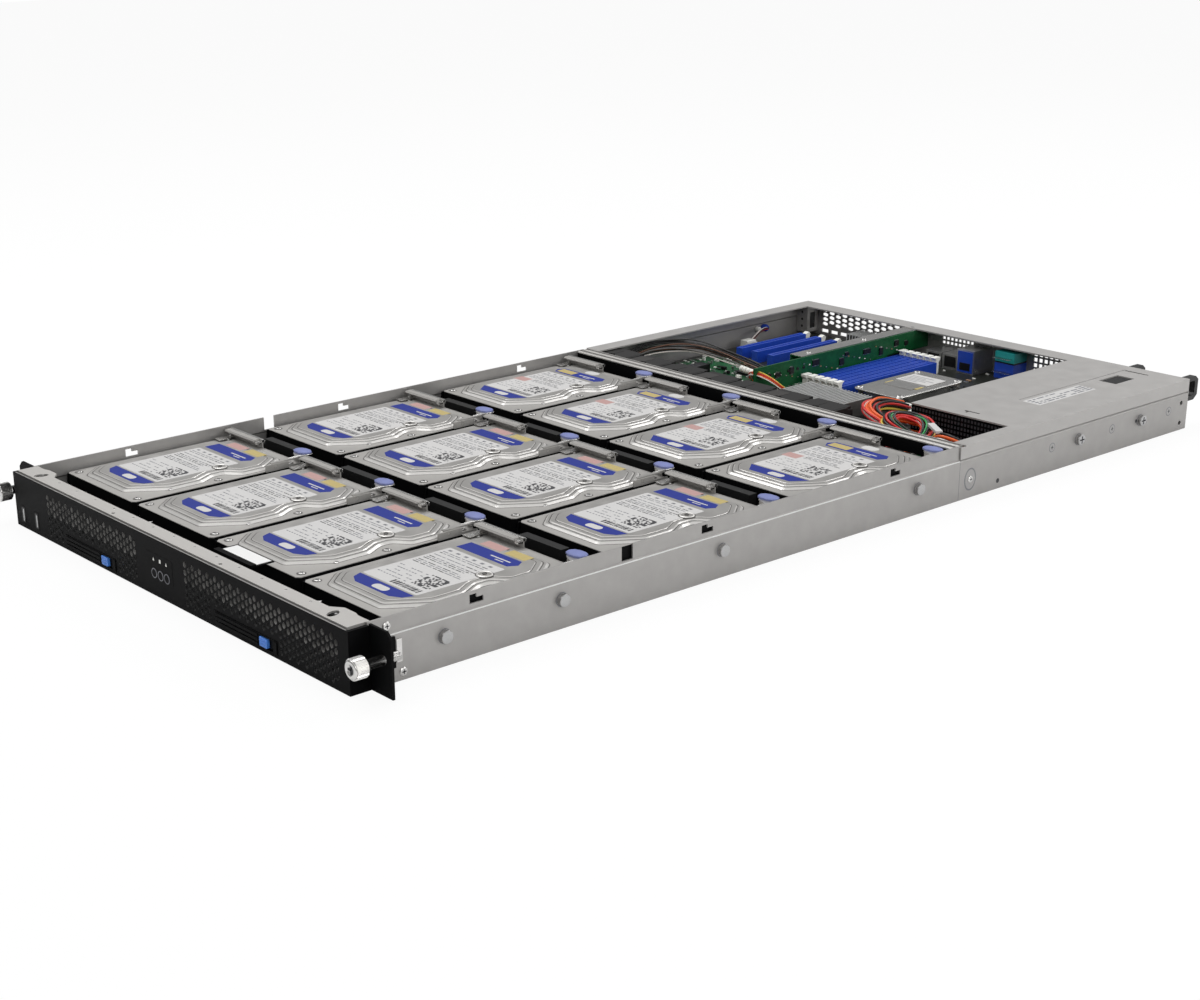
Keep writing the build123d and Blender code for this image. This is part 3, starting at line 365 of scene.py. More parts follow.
def show(name, data, body, bevel=0.0, replaces=(), shift=(0, 0, 0)):
    """A piece that rides a body; bevel rounds its sharp edges."""
    piece = bpy.data.objects.new(name, data)
    bpy.context.collection.objects.link(piece)
    piece.location = [value * MM for value in shift]
    if bevel:
        rounding = piece.modifiers.new("rounding", "BEVEL")
        rounding.width = bevel * MM
        rounding.segments = 2
        rounding.limit_method = "ANGLE"
        rounding.angle_limit = math.radians(35)
        rounding.harden_normals = False
    if replaces:
        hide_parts(*replaces)
    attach(piece, body)


def wires(name, runs, radius, mat, body="chassis", replaces=()):
    """Thin round wires, one smooth line each, in one piece."""
    curve = bpy.data.curves.new(name, "CURVE")
    curve.dimensions = "3D"
    curve.bevel_depth = radius * MM
    curve.bevel_resolution = 2
    curve.resolution_u = 8
    curve.use_fill_caps = True
    for run in runs:
        spline = curve.splines.new("NURBS")
        spline.points.add(len(run) - 1)
        for point, (x, y, z) in zip(spline.points, run):
            point.co = (x * MM, y * MM, z * MM, 1)
        spline.order_u = 3
        spline.use_endpoint_u = True
    curve.materials.append(mat)
    show(name, curve, body, replaces=replaces)


def bundle(name, route, colours, spread, radius, seed, replaces=(), flat=0.6):
    """Wires side by side along one route, each straying a little from it."""
    chance = random.Random(seed)
    by_colour = {}
    count = len(colours)
    golden_turn = 2.39996
    for index, colour in enumerate(colours):
        ring = math.sqrt((index + 0.5) / count) * spread
        turn = index * golden_turn
        run = []
        for k, (x, y, z) in enumerate(route):
            ahead = route[min(k + 1, len(route) - 1)]
            behind = route[max(k - 1, 0)]
            along = Vector(ahead) - Vector(behind)
            along.normalize()
            side = along.cross(Vector((0, 0, 1)))
            side = side.normalized() if side.length > 0.05 else Vector((1, 0, 0))
            up = side.cross(along).normalized()
            slack = 0.25 * spread if 0 < k < len(route) - 1 else 0
            u = ring * math.cos(turn) + chance.uniform(-slack, slack)
            v = flat * (ring * math.sin(turn) + chance.uniform(-slack, slack))
            run.append(tuple(Vector((x, y, z)) + side * u + up * v))
        by_colour.setdefault(colour, []).append(run)
    for number, (colour, runs) in enumerate(by_colour.items()):
        gone = replaces if number == 0 else ()
        wires(f"{name}_{colour}", runs, radius, wire_mats[colour], replaces=gone)


def cross_recess(form, centre, reach, half, low, high, axis):
    """Two dark bars across each other, painted shade that reads as the recess of a screw."""
    u, v = centre
    for du, dv in ((reach, half), (half, reach)):
        outline = [(u - du, v - dv), (u + du, v - dv), (u + du, v + dv), (u - du, v + dv)]
        form.prism(outline, low, high, dark_print_and_shade, axis)


def cross_screw(form, x, y, z, radius, mat, axis="Z", out=1):
    """A pan-headed screw with a cross recess, standing out along an axis."""
    centre = {"Z": (x, y), "Y": (x, z), "X": (y, z)}[axis]
    level = {"Z": z, "Y": y, "X": x}[axis]
    profile = ((radius, 0), (radius, 0.35 * out), (radius * 0.86, 0.75 * out), (radius * 0.5, 0.9 * out))
    form.lathe(centre, [(r, level + step) for r, step in profile], mat, axis, 20)
    cross_recess(form, centre, 0.55 * radius, 0.13 * radius, level + 0.8 * out, level + 0.93 * out, axis)


def panel(form, xs, zs, ys, openings, mat):
    """An upright sheet with rectangular openings (x0, x1, z0, z1), made of the strips between them."""
    edges = sorted({*xs, *[v for opening in openings for v in opening[:2] if xs[0] < v < xs[1]]})
    for left, right in zip(edges, edges[1:]):
        middle = (left + right) / 2
        level = zs[0]
        for x0, x1, z0, z1 in sorted(openings, key=lambda opening: opening[2]):
            if x0 < middle < x1:
                if min(z0, zs[1]) > level:
                    form.box((left, right), ys, (level, min(z0, zs[1])), mat)
                level = max(level, z1)
        if level < zs[1]:
            form.box((left, right), ys, (level, zs[1]), mat)


def holed(form, xs, zs, ys, hole, mat, rim):
    """One cell of a perforated sheet with a six-sided hole in its middle."""
    x0, x1 = xs
    z0, z1 = zs
    cx, cz = (x0 + x1) / 2, (z0 + z1) / 2
    a, t, w = hole[0] / 2, hole[1] / 2, hole[1] / 4
    outer = [(x0, z0), (cx, z0), (x1, z0), (x1, cz), (x1, z1), (cx, z1), (x0, z1), (x0, cz)]
    inner = [(cx - a, cz - w), (cx, cz - t), (cx + a, cz - w), (cx + a, cz), (cx + a, cz + w), (cx, cz + t),
             (cx - a, cz + w), (cx - a, cz)]
    verts = [(x, y, z) for y in ys for x, z in outer + inner]
    sheet, lining = [], []
    for i in range(8):
        j = (i + 1) % 8
        sheet.append((i, j, 8 + j, 8 + i))
        sheet.append((16 + i, 24 + i, 24 + j, 16 + j))
        lining.append((8 + i, 8 + j, 24 + j, 24 + i))
    form.add(verts, sheet, mat)
    form.add(verts, lining, rim)


def perforated(form, xs, zs, ys, pitch, hole, blocked, mat, edges=None):
    """An upright sheet with staggered six-sided holes, clear of blocked rectangles; edges, when given, line
    the holes below and above the middle in painted shade and painted highlight.
    """
    dx, dz = pitch
    count = int((xs[1] - xs[0]) // dx)
    start = (xs[0] + xs[1]) / 2 - count * dx / 2
    form.box((xs[0], start), ys, zs, mat)
    form.box((start + count * dx, xs[1]), ys, zs, mat)
    for column in range(count):
        cell_xs = (start + column * dx, start + (column + 1) * dx)
        centre = sum(cell_xs) / 2
        z = zs[0] + (dz / 2 if column % 2 else 0)
        if z > zs[0]:
            panel(form, cell_xs, (zs[0], z), ys, blocked, mat)
        while z + dz <= zs[1] + 1e-6:
            middle = z + dz / 2
            shut = any(x0 < centre + hole[0] / 2 and x1 > centre - hole[0] / 2
                       and z0 < middle + hole[1] / 2 and z1 > middle - hole[1] / 2
                       for x0, x1, z0, z1 in blocked)
            if shut:
                panel(form, cell_xs, (z, z + dz), ys, blocked, mat)
            else:
                # Holes above the middle get the painted highlight lining, holes below it the painted shade
                # lining
                rim = edges[1 if middle > sum(zs) / 2 else 0] if edges else mat
                holed(form, cell_xs, (z, z + dz), ys, hole, mat, rim)
            z += dz
        if z < zs[1] - 0.01:
            panel(form, cell_xs, (z, zs[1]), ys, blocked, mat)


# Solids that keep their own shape
def dress(names, mat):
    for name in names:
        node = nodes[name]
        if not node.material_slots:
            node.data.materials.append(mat)
        for slot in node.material_slots:
            slot.material = mat


def dress_solids():
    tags = [f"{row + 1}{column + 1}" for row in range(3) for column in range(4)]
    # Painted shade: the cross members' faces below 41.6 mm are near black for the shade they sit in, steel
    # above
    rail_low_painted_shade = split_along("rail_low_painted_shade", black_paint_and_shade, (180, 178, 175), 41.6, high_metal=0.7)
    lever_finish = split_along("lever_finish", drive_metal, (116, 124, 172), drive_top + 3.25)
    # Painted shade: carrier sides below the rim are near black for the shade they sit in, grey metal above
    carrier_side_painted_shade = split_along("carrier_side_painted_shade", black_paint_and_shade, (166, 164, 161), rim_z - 0.5, high_metal=0.65)
    module_finish = split_along("module_finish", steel, (10, 10, 11), 866.0, "Y")
    dress(["chassis_base", "rear_wall"], steel)
    dress(["cross_members"], rail_low_painted_shade)
    dress(["rear_cover_frame"], cover_zinc)
    dress(["rack_ears", "bay_guides", "power_cage"], black_paint_and_shade)
    dress(["ssd_tray_left", "ssd_tray_right", "power_button", "reset_button", "locate_button"], black_plastic)
    dress(["ssd_latch_left", "ssd_latch_right"], tab_blue)
    dress(["fan_frames"] + [f"fan_rotor_{i + 1}" for i in range(7)], dark_plastic)
    dress(["drive_backplanes"], shroud_dark)
    dress(["mainboard"], board_dark)
    dress(["board_slots"], slot_blue)
    dress(["slot_latches"], latch_white)
    dress(["heat_sinks"], fin_metal_and_highlight)
    dress(["processor_frame"], bright)
    dress(["rear_ports"], port_black_and_shade)
    dress(["riser_card"], board_green)
    dress(["power_module_left", "power_module_right"], module_finish)
    dress([f"drive_carrier_{tag}" for tag in tags], carrier_side_painted_shade)
    dress([f"tray_latch_{tag}" for tag in tags], lever_finish)


# Drives: x from the drive's middle, y from its front edge
cover_margin = 7.2
foot_z = drive_top - 0.7
crown_z = drive_top + 0.15
field_z = crown_z + 0.45
ink_z = field_z + 0.04


def cover_outline(margin):
    """Outline of the raised cover, with the waist beside the pivot cap."""
    half = half_drive - margin
    front = 4.0 + margin
    back = drive_length - 4.0 - margin
    return [
        (-half, front + 14), (-half + 12, front), (half - 22, front), (half - 4, front + 26),
        (half - 4, 62), (half - 12, 76), (half - 12, 88), (half, 98), (half, back - 18),
        (half - 14, back), (-half + 14, back), (-half, back - 16),
    ]


def stamp_cover(form):
    """Three pressed levels whose sloping sides carry a painted highlight, each edged by a thin line of
    painted shade.
    """
    base = cover_outline(cover_margin)
    for reach, low, high, shrink in (
            (-4.5, rim_z + 0.01, rim_z + 0.08, 0), (-3.8, rim_z + 0.05, foot_z, 1.5),
            (-0.7, foot_z - 0.05, foot_z + 0.06, 0), (0, foot_z - 0.1, crown_z, 0.9),
            (3.8, crown_z - 0.05, crown_z + 0.06, 0), (4.4, crown_z, field_z, 0.4)):
        outline = eased(inset(base, reach), 3.0)
        # Slopes carry the painted highlight; the thin flat rings are lines of painted shade
        if shrink:
            form.prism(outline, low, high, drive_metal, shrink=shrink, slope=ridge_painted_highlight)
        else:
            form.prism(outline, low, high, painted_shade_grey)


def print_label(form, chance, variant):
    """A generic label: a white field between blue bands, with grey lines, a dark pattern and bars."""
    x0, x1, y0, y1 = 18.5 - half_drive, 77.0 - half_drive, 34.0, 106.0
    paper_z = field_z - 0.1
    band_y0, band_y1 = 110.5, 123.5
    band_y = (band_y0 + band_y1) / 2
    wedge_y = y0 - 13.5

    def ink(xs, ys, mat=print_grey, lift=0.03):
        form.box(xs, ys, (ink_z, ink_z + lift), mat)

    form.prism(rounded(x0, x1, y0, y1, 1.5), paper_z, ink_z, label_white)
    if variant:
        wedge = [(x0, y0 - 1.6), (x0 + 9, wedge_y), (x1 - 9, wedge_y), (x1, y0 - 1.6)]
        band = [(x0 + 4, band_y0), (x1 - 2, band_y0), (x1 + 2, band_y), (x1 - 2, band_y1), (x0 + 4, band_y1),
                (x0, band_y)]
    else:
        wedge = [(x0, y0 - 1.6), (x0 + 3, y0 - 9), (x0 + 11, wedge_y), (x1 - 11, wedge_y), (x1 - 3, y0 - 9),
                 (x1, y0 - 1.6)]
        band = [(x0 + 1, band_y0), (x1 - 4, band_y0), (x1, band_y), (x1 - 4, band_y1), (x0 + 1, band_y1)]
    form.prism(wedge, paper_z, ink_z, label_blue)
    form.prism(band, paper_z, ink_z, label_blue)
    form.prism(rounded(-8.5, 6.5, y0 - 11.2, y0 - 4.6, 3.0), ink_z, ink_z + 0.04, label_white)
    ink((x0 + 30, x1 - 8), (116.2, 117.6), label_white, 0.04)
    ink((x0 + 38, x1 - 12), (113.4, 114.4), label_white, 0.04)
    if variant:
        ink((x0 + 4, x0 + 24), (112.5, 121.5), label_gold, 0.05)
        form.prism(rounded(-7, 8, 125.5, 134.5, 4), paper_z, ink_z, label_white)
        ink((x0 - 2, x0 + 13), (67, 77), label_pink, 0.05)
    else:
        form.box((x0 + 7, x0 + 29), (125.5, 134.5), (paper_z, ink_z), label_pink)
        form.box((x0 + 33, x0 + 54), (125.5, 134.5), (paper_z, ink_z), label_gold)
    for y in (98.0, 95.4, 90.6, 86.4, 84.0, 81.6, 77.4, 75.0, 72.6):
        x = x0 + (16 if variant and 66 < y < 79 else 3)
        end = x1 - chance.uniform(4, 14)
        while x < end:
            wide = chance.uniform(2.5, 8.0)
            shade_of_line = dark_print_and_shade if chance.random() < 0.3 else print_grey
            ink((x, min(x + wide, end)), (y - 0.45, y + 0.45), shade_of_line)
            x += wide + chance.uniform(0.8, 2.0)
    for k in range(6):
        x = x0 + 4 + k * 8.5
        ink((x, x + 3.4), (100.9, 103.1))
    for k in range(10):
        x = x0 + 3 + k * 3.1
        for y in (44.5, 49.0, 53.5, 58.0, 62.5):
            if chance.random() < 0.75:
                ink((x, x + chance.uniform(1.4, 2.8)), (y - 0.5, y + 0.5))
    cell, cells = 1.5, 13
    for i in range(cells):
        for j in range(cells):
            if chance.random() < 0.52:
                x = x0 + 35.5 + i * cell
                y = 45.5 + j * cell
                ink((x, x + cell), (y, y + cell), dark_print_and_shade)
    x = x0 + 26
    while x < x1 - 3:
        wide = chance.choice((0.8, 1.4, 2.0))
        ink((x, x + wide), (36.5, 42.0), dark_print_and_shade)
        x += wide + chance.choice((0.8, 1.2))


def fasten_cover(form):
    """The pivot cap in the cover's waist and the screws of cover and drive, with painted shade in the dark
    rings and the cap's screw and a painted highlight on the cap's raised ring.
    """
    cap = (75.5 - half_drive, 90.0)
    # Painted shade in the outer ring and the cap's screw, painted highlight on the raised ring
    form.lathe(cap, ((6.4, crown_z), (6.4, field_z + 0.1), (6.2, field_z + 0.15)), painted_shade_grey)
    form.lathe(cap, ((5.6, crown_z), (5.6, field_z + 0.4), (5.0, field_z + 0.7), (4.6, field_z + 0.45)),
               ridge_painted_highlight)
    form.lathe(cap, ((4.5, crown_z), (4.5, field_z + 0.5), (0.4, field_z + 0.52)), cast_metal)
    cross_screw(form, *cap, field_z + 0.45, 1.7, painted_shade_grey)
    for x in (6.0 - half_drive, half_drive - 6.0):
        for y in (7.0, 76.0, drive_length - 7.0):
            # Painted shade: a dark ring under each screw head
            form.lathe((x, y), ((3.4, rim_z), (3.4, rim_z + 0.1), (3.2, rim_z + 0.12)), painted_shade_grey, sides=20)
            cross_screw(form, x, y, rim_z, 2.5, bright)
    for x, y in ((92.0 - half_drive, 112.0), (93.5 - half_drive, 36.0)):
        cross_screw(form, x, y, rim_z, 2.0, bright)


def drive_cover(name, seed, variant):
    form = Form()
    stamp_cover(form)
    print_label(form, random.Random(seed), variant)
    fasten_cover(form)
    return form.mesh(name)


def tray_fittings():
    """Side screws and the bright hook and lips of a tray."""
    form = Form()
    edge = half_drive + 1.3
    for side in (-1, 1):
        for y in (28.0, 88.0):
            cross_screw(form, side * (edge - 0.1), y, 17.4, 2.4, bright, "X", side)
    form.box((-edge, -edge + 47), (147.2, 149.4), (39.4, 41.75), bright)
    form.box((-edge + 43, -edge + 46.8), (143.0, 150.5), (38.0, 40.6), bright)
    form.box((-edge + 1, -edge + 9), (131.0, 147.0), (35.8, 36.4), bright)
    return form.mesh("tray_fittings")


def latch_pad():
    """The oval blue pad of a lever, and the dot of its pivot."""
    form = Form()
    centre = (half_drive - 9.5, drive_length + 7.6)
    levels = ((0.3, 40.25), (0.6, 40.9), (0.45, 41.5), (-0.5, 41.95), (-2.4, 42.2))
    sides = 40
    rings = [(x, y, z) for grow, z in levels for x, y in oval(centre, 8.0 + grow, 5.0 + grow, sides)]
    for faces in bands(sides, len(levels)):
        form.add(rings, faces, pad_blue, True)
    form.rod((half_drive - 0.5, drive_length - 24.0), 0.1, drive_top + 0.4, drive_top + 0.5, bright)
    return form.mesh("latch_pad")


def make_drives():
    """Covers, fittings, pads and spring wires; the last row has the other label."""
    plain_cover = drive_cover("plain_cover", 11, False)
    other_cover = drive_cover("other_cover", 23, True)
    fittings, pad = tray_fittings(), latch_pad()
    spring = [(half_drive - 4, 138, 39.6), (half_drive - 2, 143, 40.6), (half_drive + 1, 150, 40.9),
              (half_drive - 1, 158, 39.6), (half_drive - 6, 161, 38.6)]
    for row, y in enumerate(row_ys):
        cover = other_cover if row == 2 else plain_cover
        for column, x in enumerate(column_xs):
            tag = f"{row + 1}{column + 1}"
            show(f"drive_cover_{tag}", cover, f"carrier_{tag}", 0.12, shift=(x, y, 0))
            show(f"tray_fittings_{tag}", fittings, f"carrier_{tag}", 0.25, shift=(x, y, 0))
            show(f"latch_pad_{tag}", pad, f"latch_{tag}", shift=(x, y, 0))
            run = [(u + x, v + y, z) for u, v, z in spring]
            wires(f"latch_spring_{tag}", [run], 0.45, bright, f"latch_{tag}")


# Bezel and the parts in its face
def make_bezel_face():
    face = Form()
    ys = (bezel_front, bezel_back)
    low, foot, head = 0.4, 3.4, 39.4
    across, tall = ssd_slot
    slots = [(side * ssd_x - across / 2, side * ssd_x + across / 2, ssd_z - tall / 2, ssd_z + tall / 2)
             for side in (-1, 1)]
    ends, middle = (-168.0, 211.0), (-34.0, 27.0)
    for zone in ((ends[0], middle[0]), (middle[1], ends[1])):
        perforated(face, zone, (foot, head), ys, (4.75, 5.6), (3.3, 4.6), slots, black_plastic,
                   (hole_painted_shade, hole_painted_highlight))
    cuts = [(x - 2.7, x + 2.7, usb_z - 6.5, usb_z + 6.5) for x in usb_xs]
    cuts += [(x - 2.9, x + 2.9, button_z - 2.9, button_z + 2.9) for x in button_xs]
    for xs in ((-bezel_half, ends[0]), middle, (ends[1], bezel_half)):
        panel(face, xs, (foot, head), ys, cuts, black_plastic)
    panel(face, (-bezel_half, bezel_half), (low, foot), ys, slots, black_plastic)
    face.box((-bezel_half, bezel_half), ys, (head, bezel_top), black_plastic)
    for side in (-1, 1):
        face.box((side * (bezel_half - bezel_wall), side * bezel_half), (bezel_back, -0.3), (low, bezel_top),
                 black_plastic)
    face.build("bezel_face", replaces=("front_bezel",))


def make_bezel_trim():
    """Control panel, button rings, indicators, usb sockets and the silver lip."""
    trim = Form()
    front = bezel_front
    trim.prism(rounded(-21.5, 14.0, 12.8, 31.8, 1.5), front - 0.12, front + 0.1, black_paint_and_shade, "Y")
    for x in button_xs:
        ring = ((3.6, front - 0.1), (3.6, front - 0.45), (2.95, front - 0.45), (2.95, front - 0.1))
        trim.lathe((x, button_z), ring, print_grey, "Y", 24)
    for x, top in zip(button_xs, (0, 1.1, 0)):
        outline = [(x - 1.1, 26.2), (x + 1.1, 26.2), (x + top, 28.8), (x - top, 28.8)]
        trim.prism(outline, front - 0.2, front - 0.1, latch_white, "Y")
    for x in usb_xs:
        trim.prism(rounded(x - 3.4, x + 3.4, 3.6, 18.0, 1.0), front - 0.15, front + 0.05, black_plastic, "Y")
        trim.box((x - 2.4, x + 2.4), (front - 0.2, front + 9), (5.0, 16.6), port_black_and_shade)
        trim.box((x - 0.4, x + 1.2), (front - 0.26, front - 0.1), (6.2, 15.4), port_metal)
    trim.box((-217, 217), (-15.4, -14.5), (42.1, 42.5), steel)
    trim.build("bezel_trim", bevel=0.05)


def make_rear_sheet():
    sheet = Form()
    card_zone = (-202.0, -85.0, 21.6, 40.4)
    port_foot = 13.2
    openings = [card_zone, (109.7, 217.3, 1.4, 41.2), (-44.4, -6.1, port_foot, 28.0),
                (-4.9, 14.9, port_foot, 36.4), (30.6, 52.4, port_foot, 38.8)]
    for x0, pitch, wide, count, z0, rise, tall, rows in (
            (-198.0, 12.4, 8.6, 9, 15.2, 0, 3.4, 1), (-45.0, 4.7, 3.2, 8, 29.6, 4.2, 2.6, 3),
            (60.0, 5.6, 3.8, 8, 15.0, 5.2, 3.6, 5)):
        for column in range(count):
            for row in range(rows):
                x, z = x0 + column * pitch, z0 + row * rise
                openings.append((x, x + wide, z, z + tall))
    panel(sheet, (-wall_x, wall_x), (0.0, 42.3), wall_ys, openings, steel)
    perforated(sheet, card_zone[:2], card_zone[2:], wall_ys, (8.4, 4.7), (6.6, 3.9), (), steel)
    sheet.build("rear_sheet", replaces=("rear_wall",))


def make_ssd_tray(side, name):
    """The ribbed face of a slot tray and its blue tab."""
    face = Form()
    x = side * ssd_x
    front = bezel_front - 0.2
    for z in (ssd_z + 2.9, ssd_z - 0.1, ssd_z - 3.1):
        rib = rounded(x - 36.6, x + 15.5, z - 1.1, z + 1.1, 0.9)
        face.prism(rib, front - 0.5, front + 0.1, black_plastic, "Y")
    end = rounded(x + 33, x + 37.2, ssd_z - 4.2, ssd_z + 4.2, 0.8)
    face.prism(end, front - 0.4, front + 0.1, black_plastic, "Y")
    face.build(f"ssd_face_{name}", f"ssd_tray_{name}", 0.15)
    tab = Form()
    x = side * ssd_x + 22.0
    outline = rounded(x - 4.4, x + 4.4, ssd_z - 3.3, ssd_z + 3.3, 0.8)
    tab.prism(outline, bezel_front - 0.9, bezel_front - 0.3, tab_blue, "Y")
    for k in range(3):
        z = ssd_z - 1.9 + k * 1.7
        tab.box((x - 2.8, x + 2.8), (bezel_front - 1.15, bezel_front - 0.8), (z, z + 0.6), tab_blue)
    tab.build(f"ssd_tab_{name}", f"ssd_latch_{name}", 0.15)


def make_thumbscrew(side, name):
    """Knurled head with a hollow, washer face, cross recess, shank and thread."""
    screw = Form()
    centre = (side * 232.55, 23.8)
    teeth = 48
    outline = []
    for i in range(2 * teeth):
        r = 7.0 if i % 2 else 6.5
        turn = math.pi * i / teeth
        outline.append((centre[0] + r * math.cos(turn), centre[1] + r * math.sin(turn)))
    screw.prism(outline, -22.8, -14.6, bright, "Y")
    head = ((6.3, -22.7), (6.2, -23.3), (5.4, -23.9), (3.4, -24.0), (3.0, -23.2), (0.4, -22.9))
    shank = ((6.3, -14.7), (6.2, -13.9), (3.4, -13.5), (3.3, 2.0), (2.9, 2.3), (2.9, 12.0))
    screw.lathe(centre, head, bright, "Y", 40)
    screw.lathe(centre, shank, bright, "Y")
    for k in range(12):
        y = 2.8 + k * 0.78
        screw.lathe(centre, ((2.85, y), (3.02, y + 0.3), (2.85, y + 0.6)), bright, "Y", 24)
    cross_recess(screw, centre, 3.6, 0.7, -23.5, -23.0, "Y")
    screw.build(f"thumbscrew_head_{name}", f"thumbscrew_{name}", replaces=(f"thumbscrew_{name}",))


# Side walls, front strip and rails
def fit_wall(walls, side):
    """Rail studs, flush screws, the dimple, a grey line at the joggle's end and a painted highlight along the
    joggle, for one side wall.
    """
    def out(reach):
        return side * (wall_x + reach)

    stud = ((3.0, -0.2), (3.0, 1.4), (4.6, 1.5), (4.6, 3.3), (4.2, 3.65), (1.6, 3.7))
    flush = ((3.4, -0.1), (3.3, 0.12), (2.2, 0.16))
    for y in stud_ys:
        walls.lathe((y, stud_z), [(r, out(reach)) for r, reach in stud], stud_metal, "X")
    for y in flush_ys:
        walls.lathe((y, flush_z), [(r, out(reach)) for r, reach in flush], brushed, "X", 28)
        cross_recess(walls, (y, flush_z), 1.5, 0.35, out(0.12), out(0.2), "X")
    for y, z, r in ((787.6, 20.4, 1.5), (603.9, 6.6, 1.9)):
        walls.rod((y, z), r, out(-0.2), out(0.06), dark_print_and_shade, "X")
    walls.prism(oval(dimple, 7.1, 9.1), out(-0.3), out(0.04), print_grey, "X")
    walls.prism(oval(dimple, 6.4, 8.4), out(-0.3), out(0.1), steel, "X", 0.6)
    walls.prism(oval(dimple, 5.2, 7.0), out(-0.3), out(0.14), brushed, "X", 0.3)
    cross_screw(walls, out(0.1), *dimple, 2.8, bright, "X", side)
    walls.box((out(-0.3), out(0.05)), (joggle_y, joggle_y + 0.4), (1.0, 31.0), print_grey)
    cross_screw(walls, out(-1.4), 14, 37.5, 3.0, bright, "X", side)
    cross_screw(walls, out(0), 24.5, 5.6, 3.0, bright, "X", side)
    walls.box((out(0), out(1.0)), (19.4, 23.4), (13, 28), bright)
    # Painted highlight: a thin white strip along the joggle's bend
    walls.box((out(-1.0), out(0.03)), (1.0, joggle_y - 0.2), (31.3, 31.9), paper_white_and_highlight)
    for y in stud_ys[4:]:
        cross_recess(walls, (y, stud_z), 3.0, 0.6, out(3.6), out(3.75), "X")
    for y in stud_ys:
        walls.rod((y, stud_z), 5.0, out(-0.1), out(0.04), print_grey, "X", 28)
    for y in flush_ys:
        walls.rod((y, flush_z), 3.9, out(-0.1), out(0.03), print_grey, "X", 28)


def make_wall_fittings():
    """What is fitted to both side walls, dark sheets of painted shade behind the right one's notches and the
    strip's rivets.
    """
    walls = Form()
    for side in (-1, 1):
        fit_wall(walls, side)
    # Painted shade: dark sheets behind the notches, where only shade shows
    for y in notch_ys:
        walls.box((214.4, 215.2), (y - 8.0, y + 8.0), (32.5, 42.0), black_paint_and_shade)
    for k in range(15):
        rivet = ((1.1, strip_top - 0.1), (1.0, strip_top + 0.02))
        walls.lathe((k * 27.5 - 192.5, -5.0), rivet, bright, sides=16)
    walls.build("wall_fittings", bevel=0.06)


def make_rail_shading():
    rails = Form()
    for y in double_rail_ys:
        rails.box((-216.0, 216.0), (y + 2.2, y + 5.0), (strip_top - 0.08, strip_top + 0.04), painted_shade_grey)
    rails.build("rail_shading")


def make_corner_bracket():
    """The angled sheet in the rear left corner; its three round holes and a slot are dark discs and a dark
    strip of painted shade.
    """
    bracket = Form()
    inner_x, front_y, zs = -203.0, 845.0, (16.0, 41.9)
    bracket.box((-217.2, inner_x), (front_y, front_y + 1.2), zs, steel)
    bracket.box((inner_x - 0.8, inner_x), (front_y, front_y + 16.6), zs, steel)
    # Painted shade: dark discs and a dark strip stand for the holes and the slot
    for z in (22.0, 29.0, 36.0):
        bracket.rod((-210.0, z), 1.3, front_y - 0.1, front_y + 0.1, port_black_and_shade, "Y", 16)
    bracket.box((inner_x, inner_x + 0.1), (849.0, 856.0), (20.0, 36.0), port_black_and_shade)
    bracket.build("corner_bracket", bevel=0.15)


def make_bay_tags():
    """The white tag on its black holder behind the front strip, and two small arrows."""
    tags = Form()
    tags.box((38, 80), (9.5, 21.5), (41.0, 41.2), paper_white_and_highlight)
    tags.box((36, 82), (4.0, 22.5), (40.4, 41.02), black_paint_and_shade)
    tags.box((36, 82), (4.0, 8.5), (41.0, 42.3), black_paint_and_shade)
    for x in (-64.0, 148.0):
        tags.prism([(x - 5, 7.0), (x + 5, 7.0), (x, 14.5)], 34.05, 34.2, label_white)
    tags.build("bay_tags")


# Fans
def make_fan_tops():
    tops = Form()
    for k, x in enumerate(fan_xs):
        for x0, mat in ((x - 17.5, mid_plastic if k % 2 else dark_plastic), (x + 2.5, dark_plastic)):
            tops.box((x0, x0 + 15.0), (fan_y + 2, fan_y + 22), (41.28, 41.5), mat)
        tops.box((x - 3.0, x + 3.0), (fan_y + 1, fan_y + 5.5), (41.2, 42.4), black_plastic)
    tops.build("fan_tops", bevel=0.3)


def make_fan_guards():
    """Four wire rings on four arms in front of each fan."""
    for k, x in enumerate(fan_xs):
        runs = []
        for r in (6.0, 10.5, 15.0, 18.4):
            turns = [math.pi * i / 8 for i in range(17)]
            runs.append([(x + r * math.cos(turn), fan_y - 0.6, fan_z + r * math.sin(turn)) for turn in turns])
        for degrees in (45, 135, 225, 315):
            c, s = math.cos(math.radians(degrees)), math.sin(math.radians(degrees))
            runs.append([(x + 4 * c, fan_y - 0.8, fan_z + 4 * s), (x + 14 * c, fan_y - 0.8, fan_z + 14 * s),
                         (x + 21 * c, fan_y - 0.6, fan_z + 19.6 * s)])
        wires(f"fan_guard_{k + 1}", runs, 0.5, black_plastic)


# Boards
def capacitor(form, x, y, radius, height):
    z = board_top
    profile = ((radius, z), (radius, z + height - 0.4), (radius - 0.4, z + height), (0.3, z + height))
    form.lathe((x, y), profile, bright, sides=20)
    form.rod((x, y), radius + 0.05, z, z + height * 0.75, chip_black, sides=20)


def chip(form, x, y, across, deep, tall=1.1, mat=None, legs=True):
    z = board_top
    form.box((x - across / 2, x + across / 2), (y - deep / 2, y + deep / 2), (z, z + tall), mat or chip_black)
    if legs:
        count = max(2, int(across // 1.6))
        for k in range(count):
            px = x - across / 2 + (k + 0.5) * across / count
            form.box((px - 0.3, px + 0.3), (y - deep / 2 - 0.9, y + deep / 2 + 0.9), (z, z + 0.4), port_metal)


def taken(x, y, zones):
    return any(x0 < x < x1 and y0 < y < y1 for x0, x1, y0, y1 in zones)


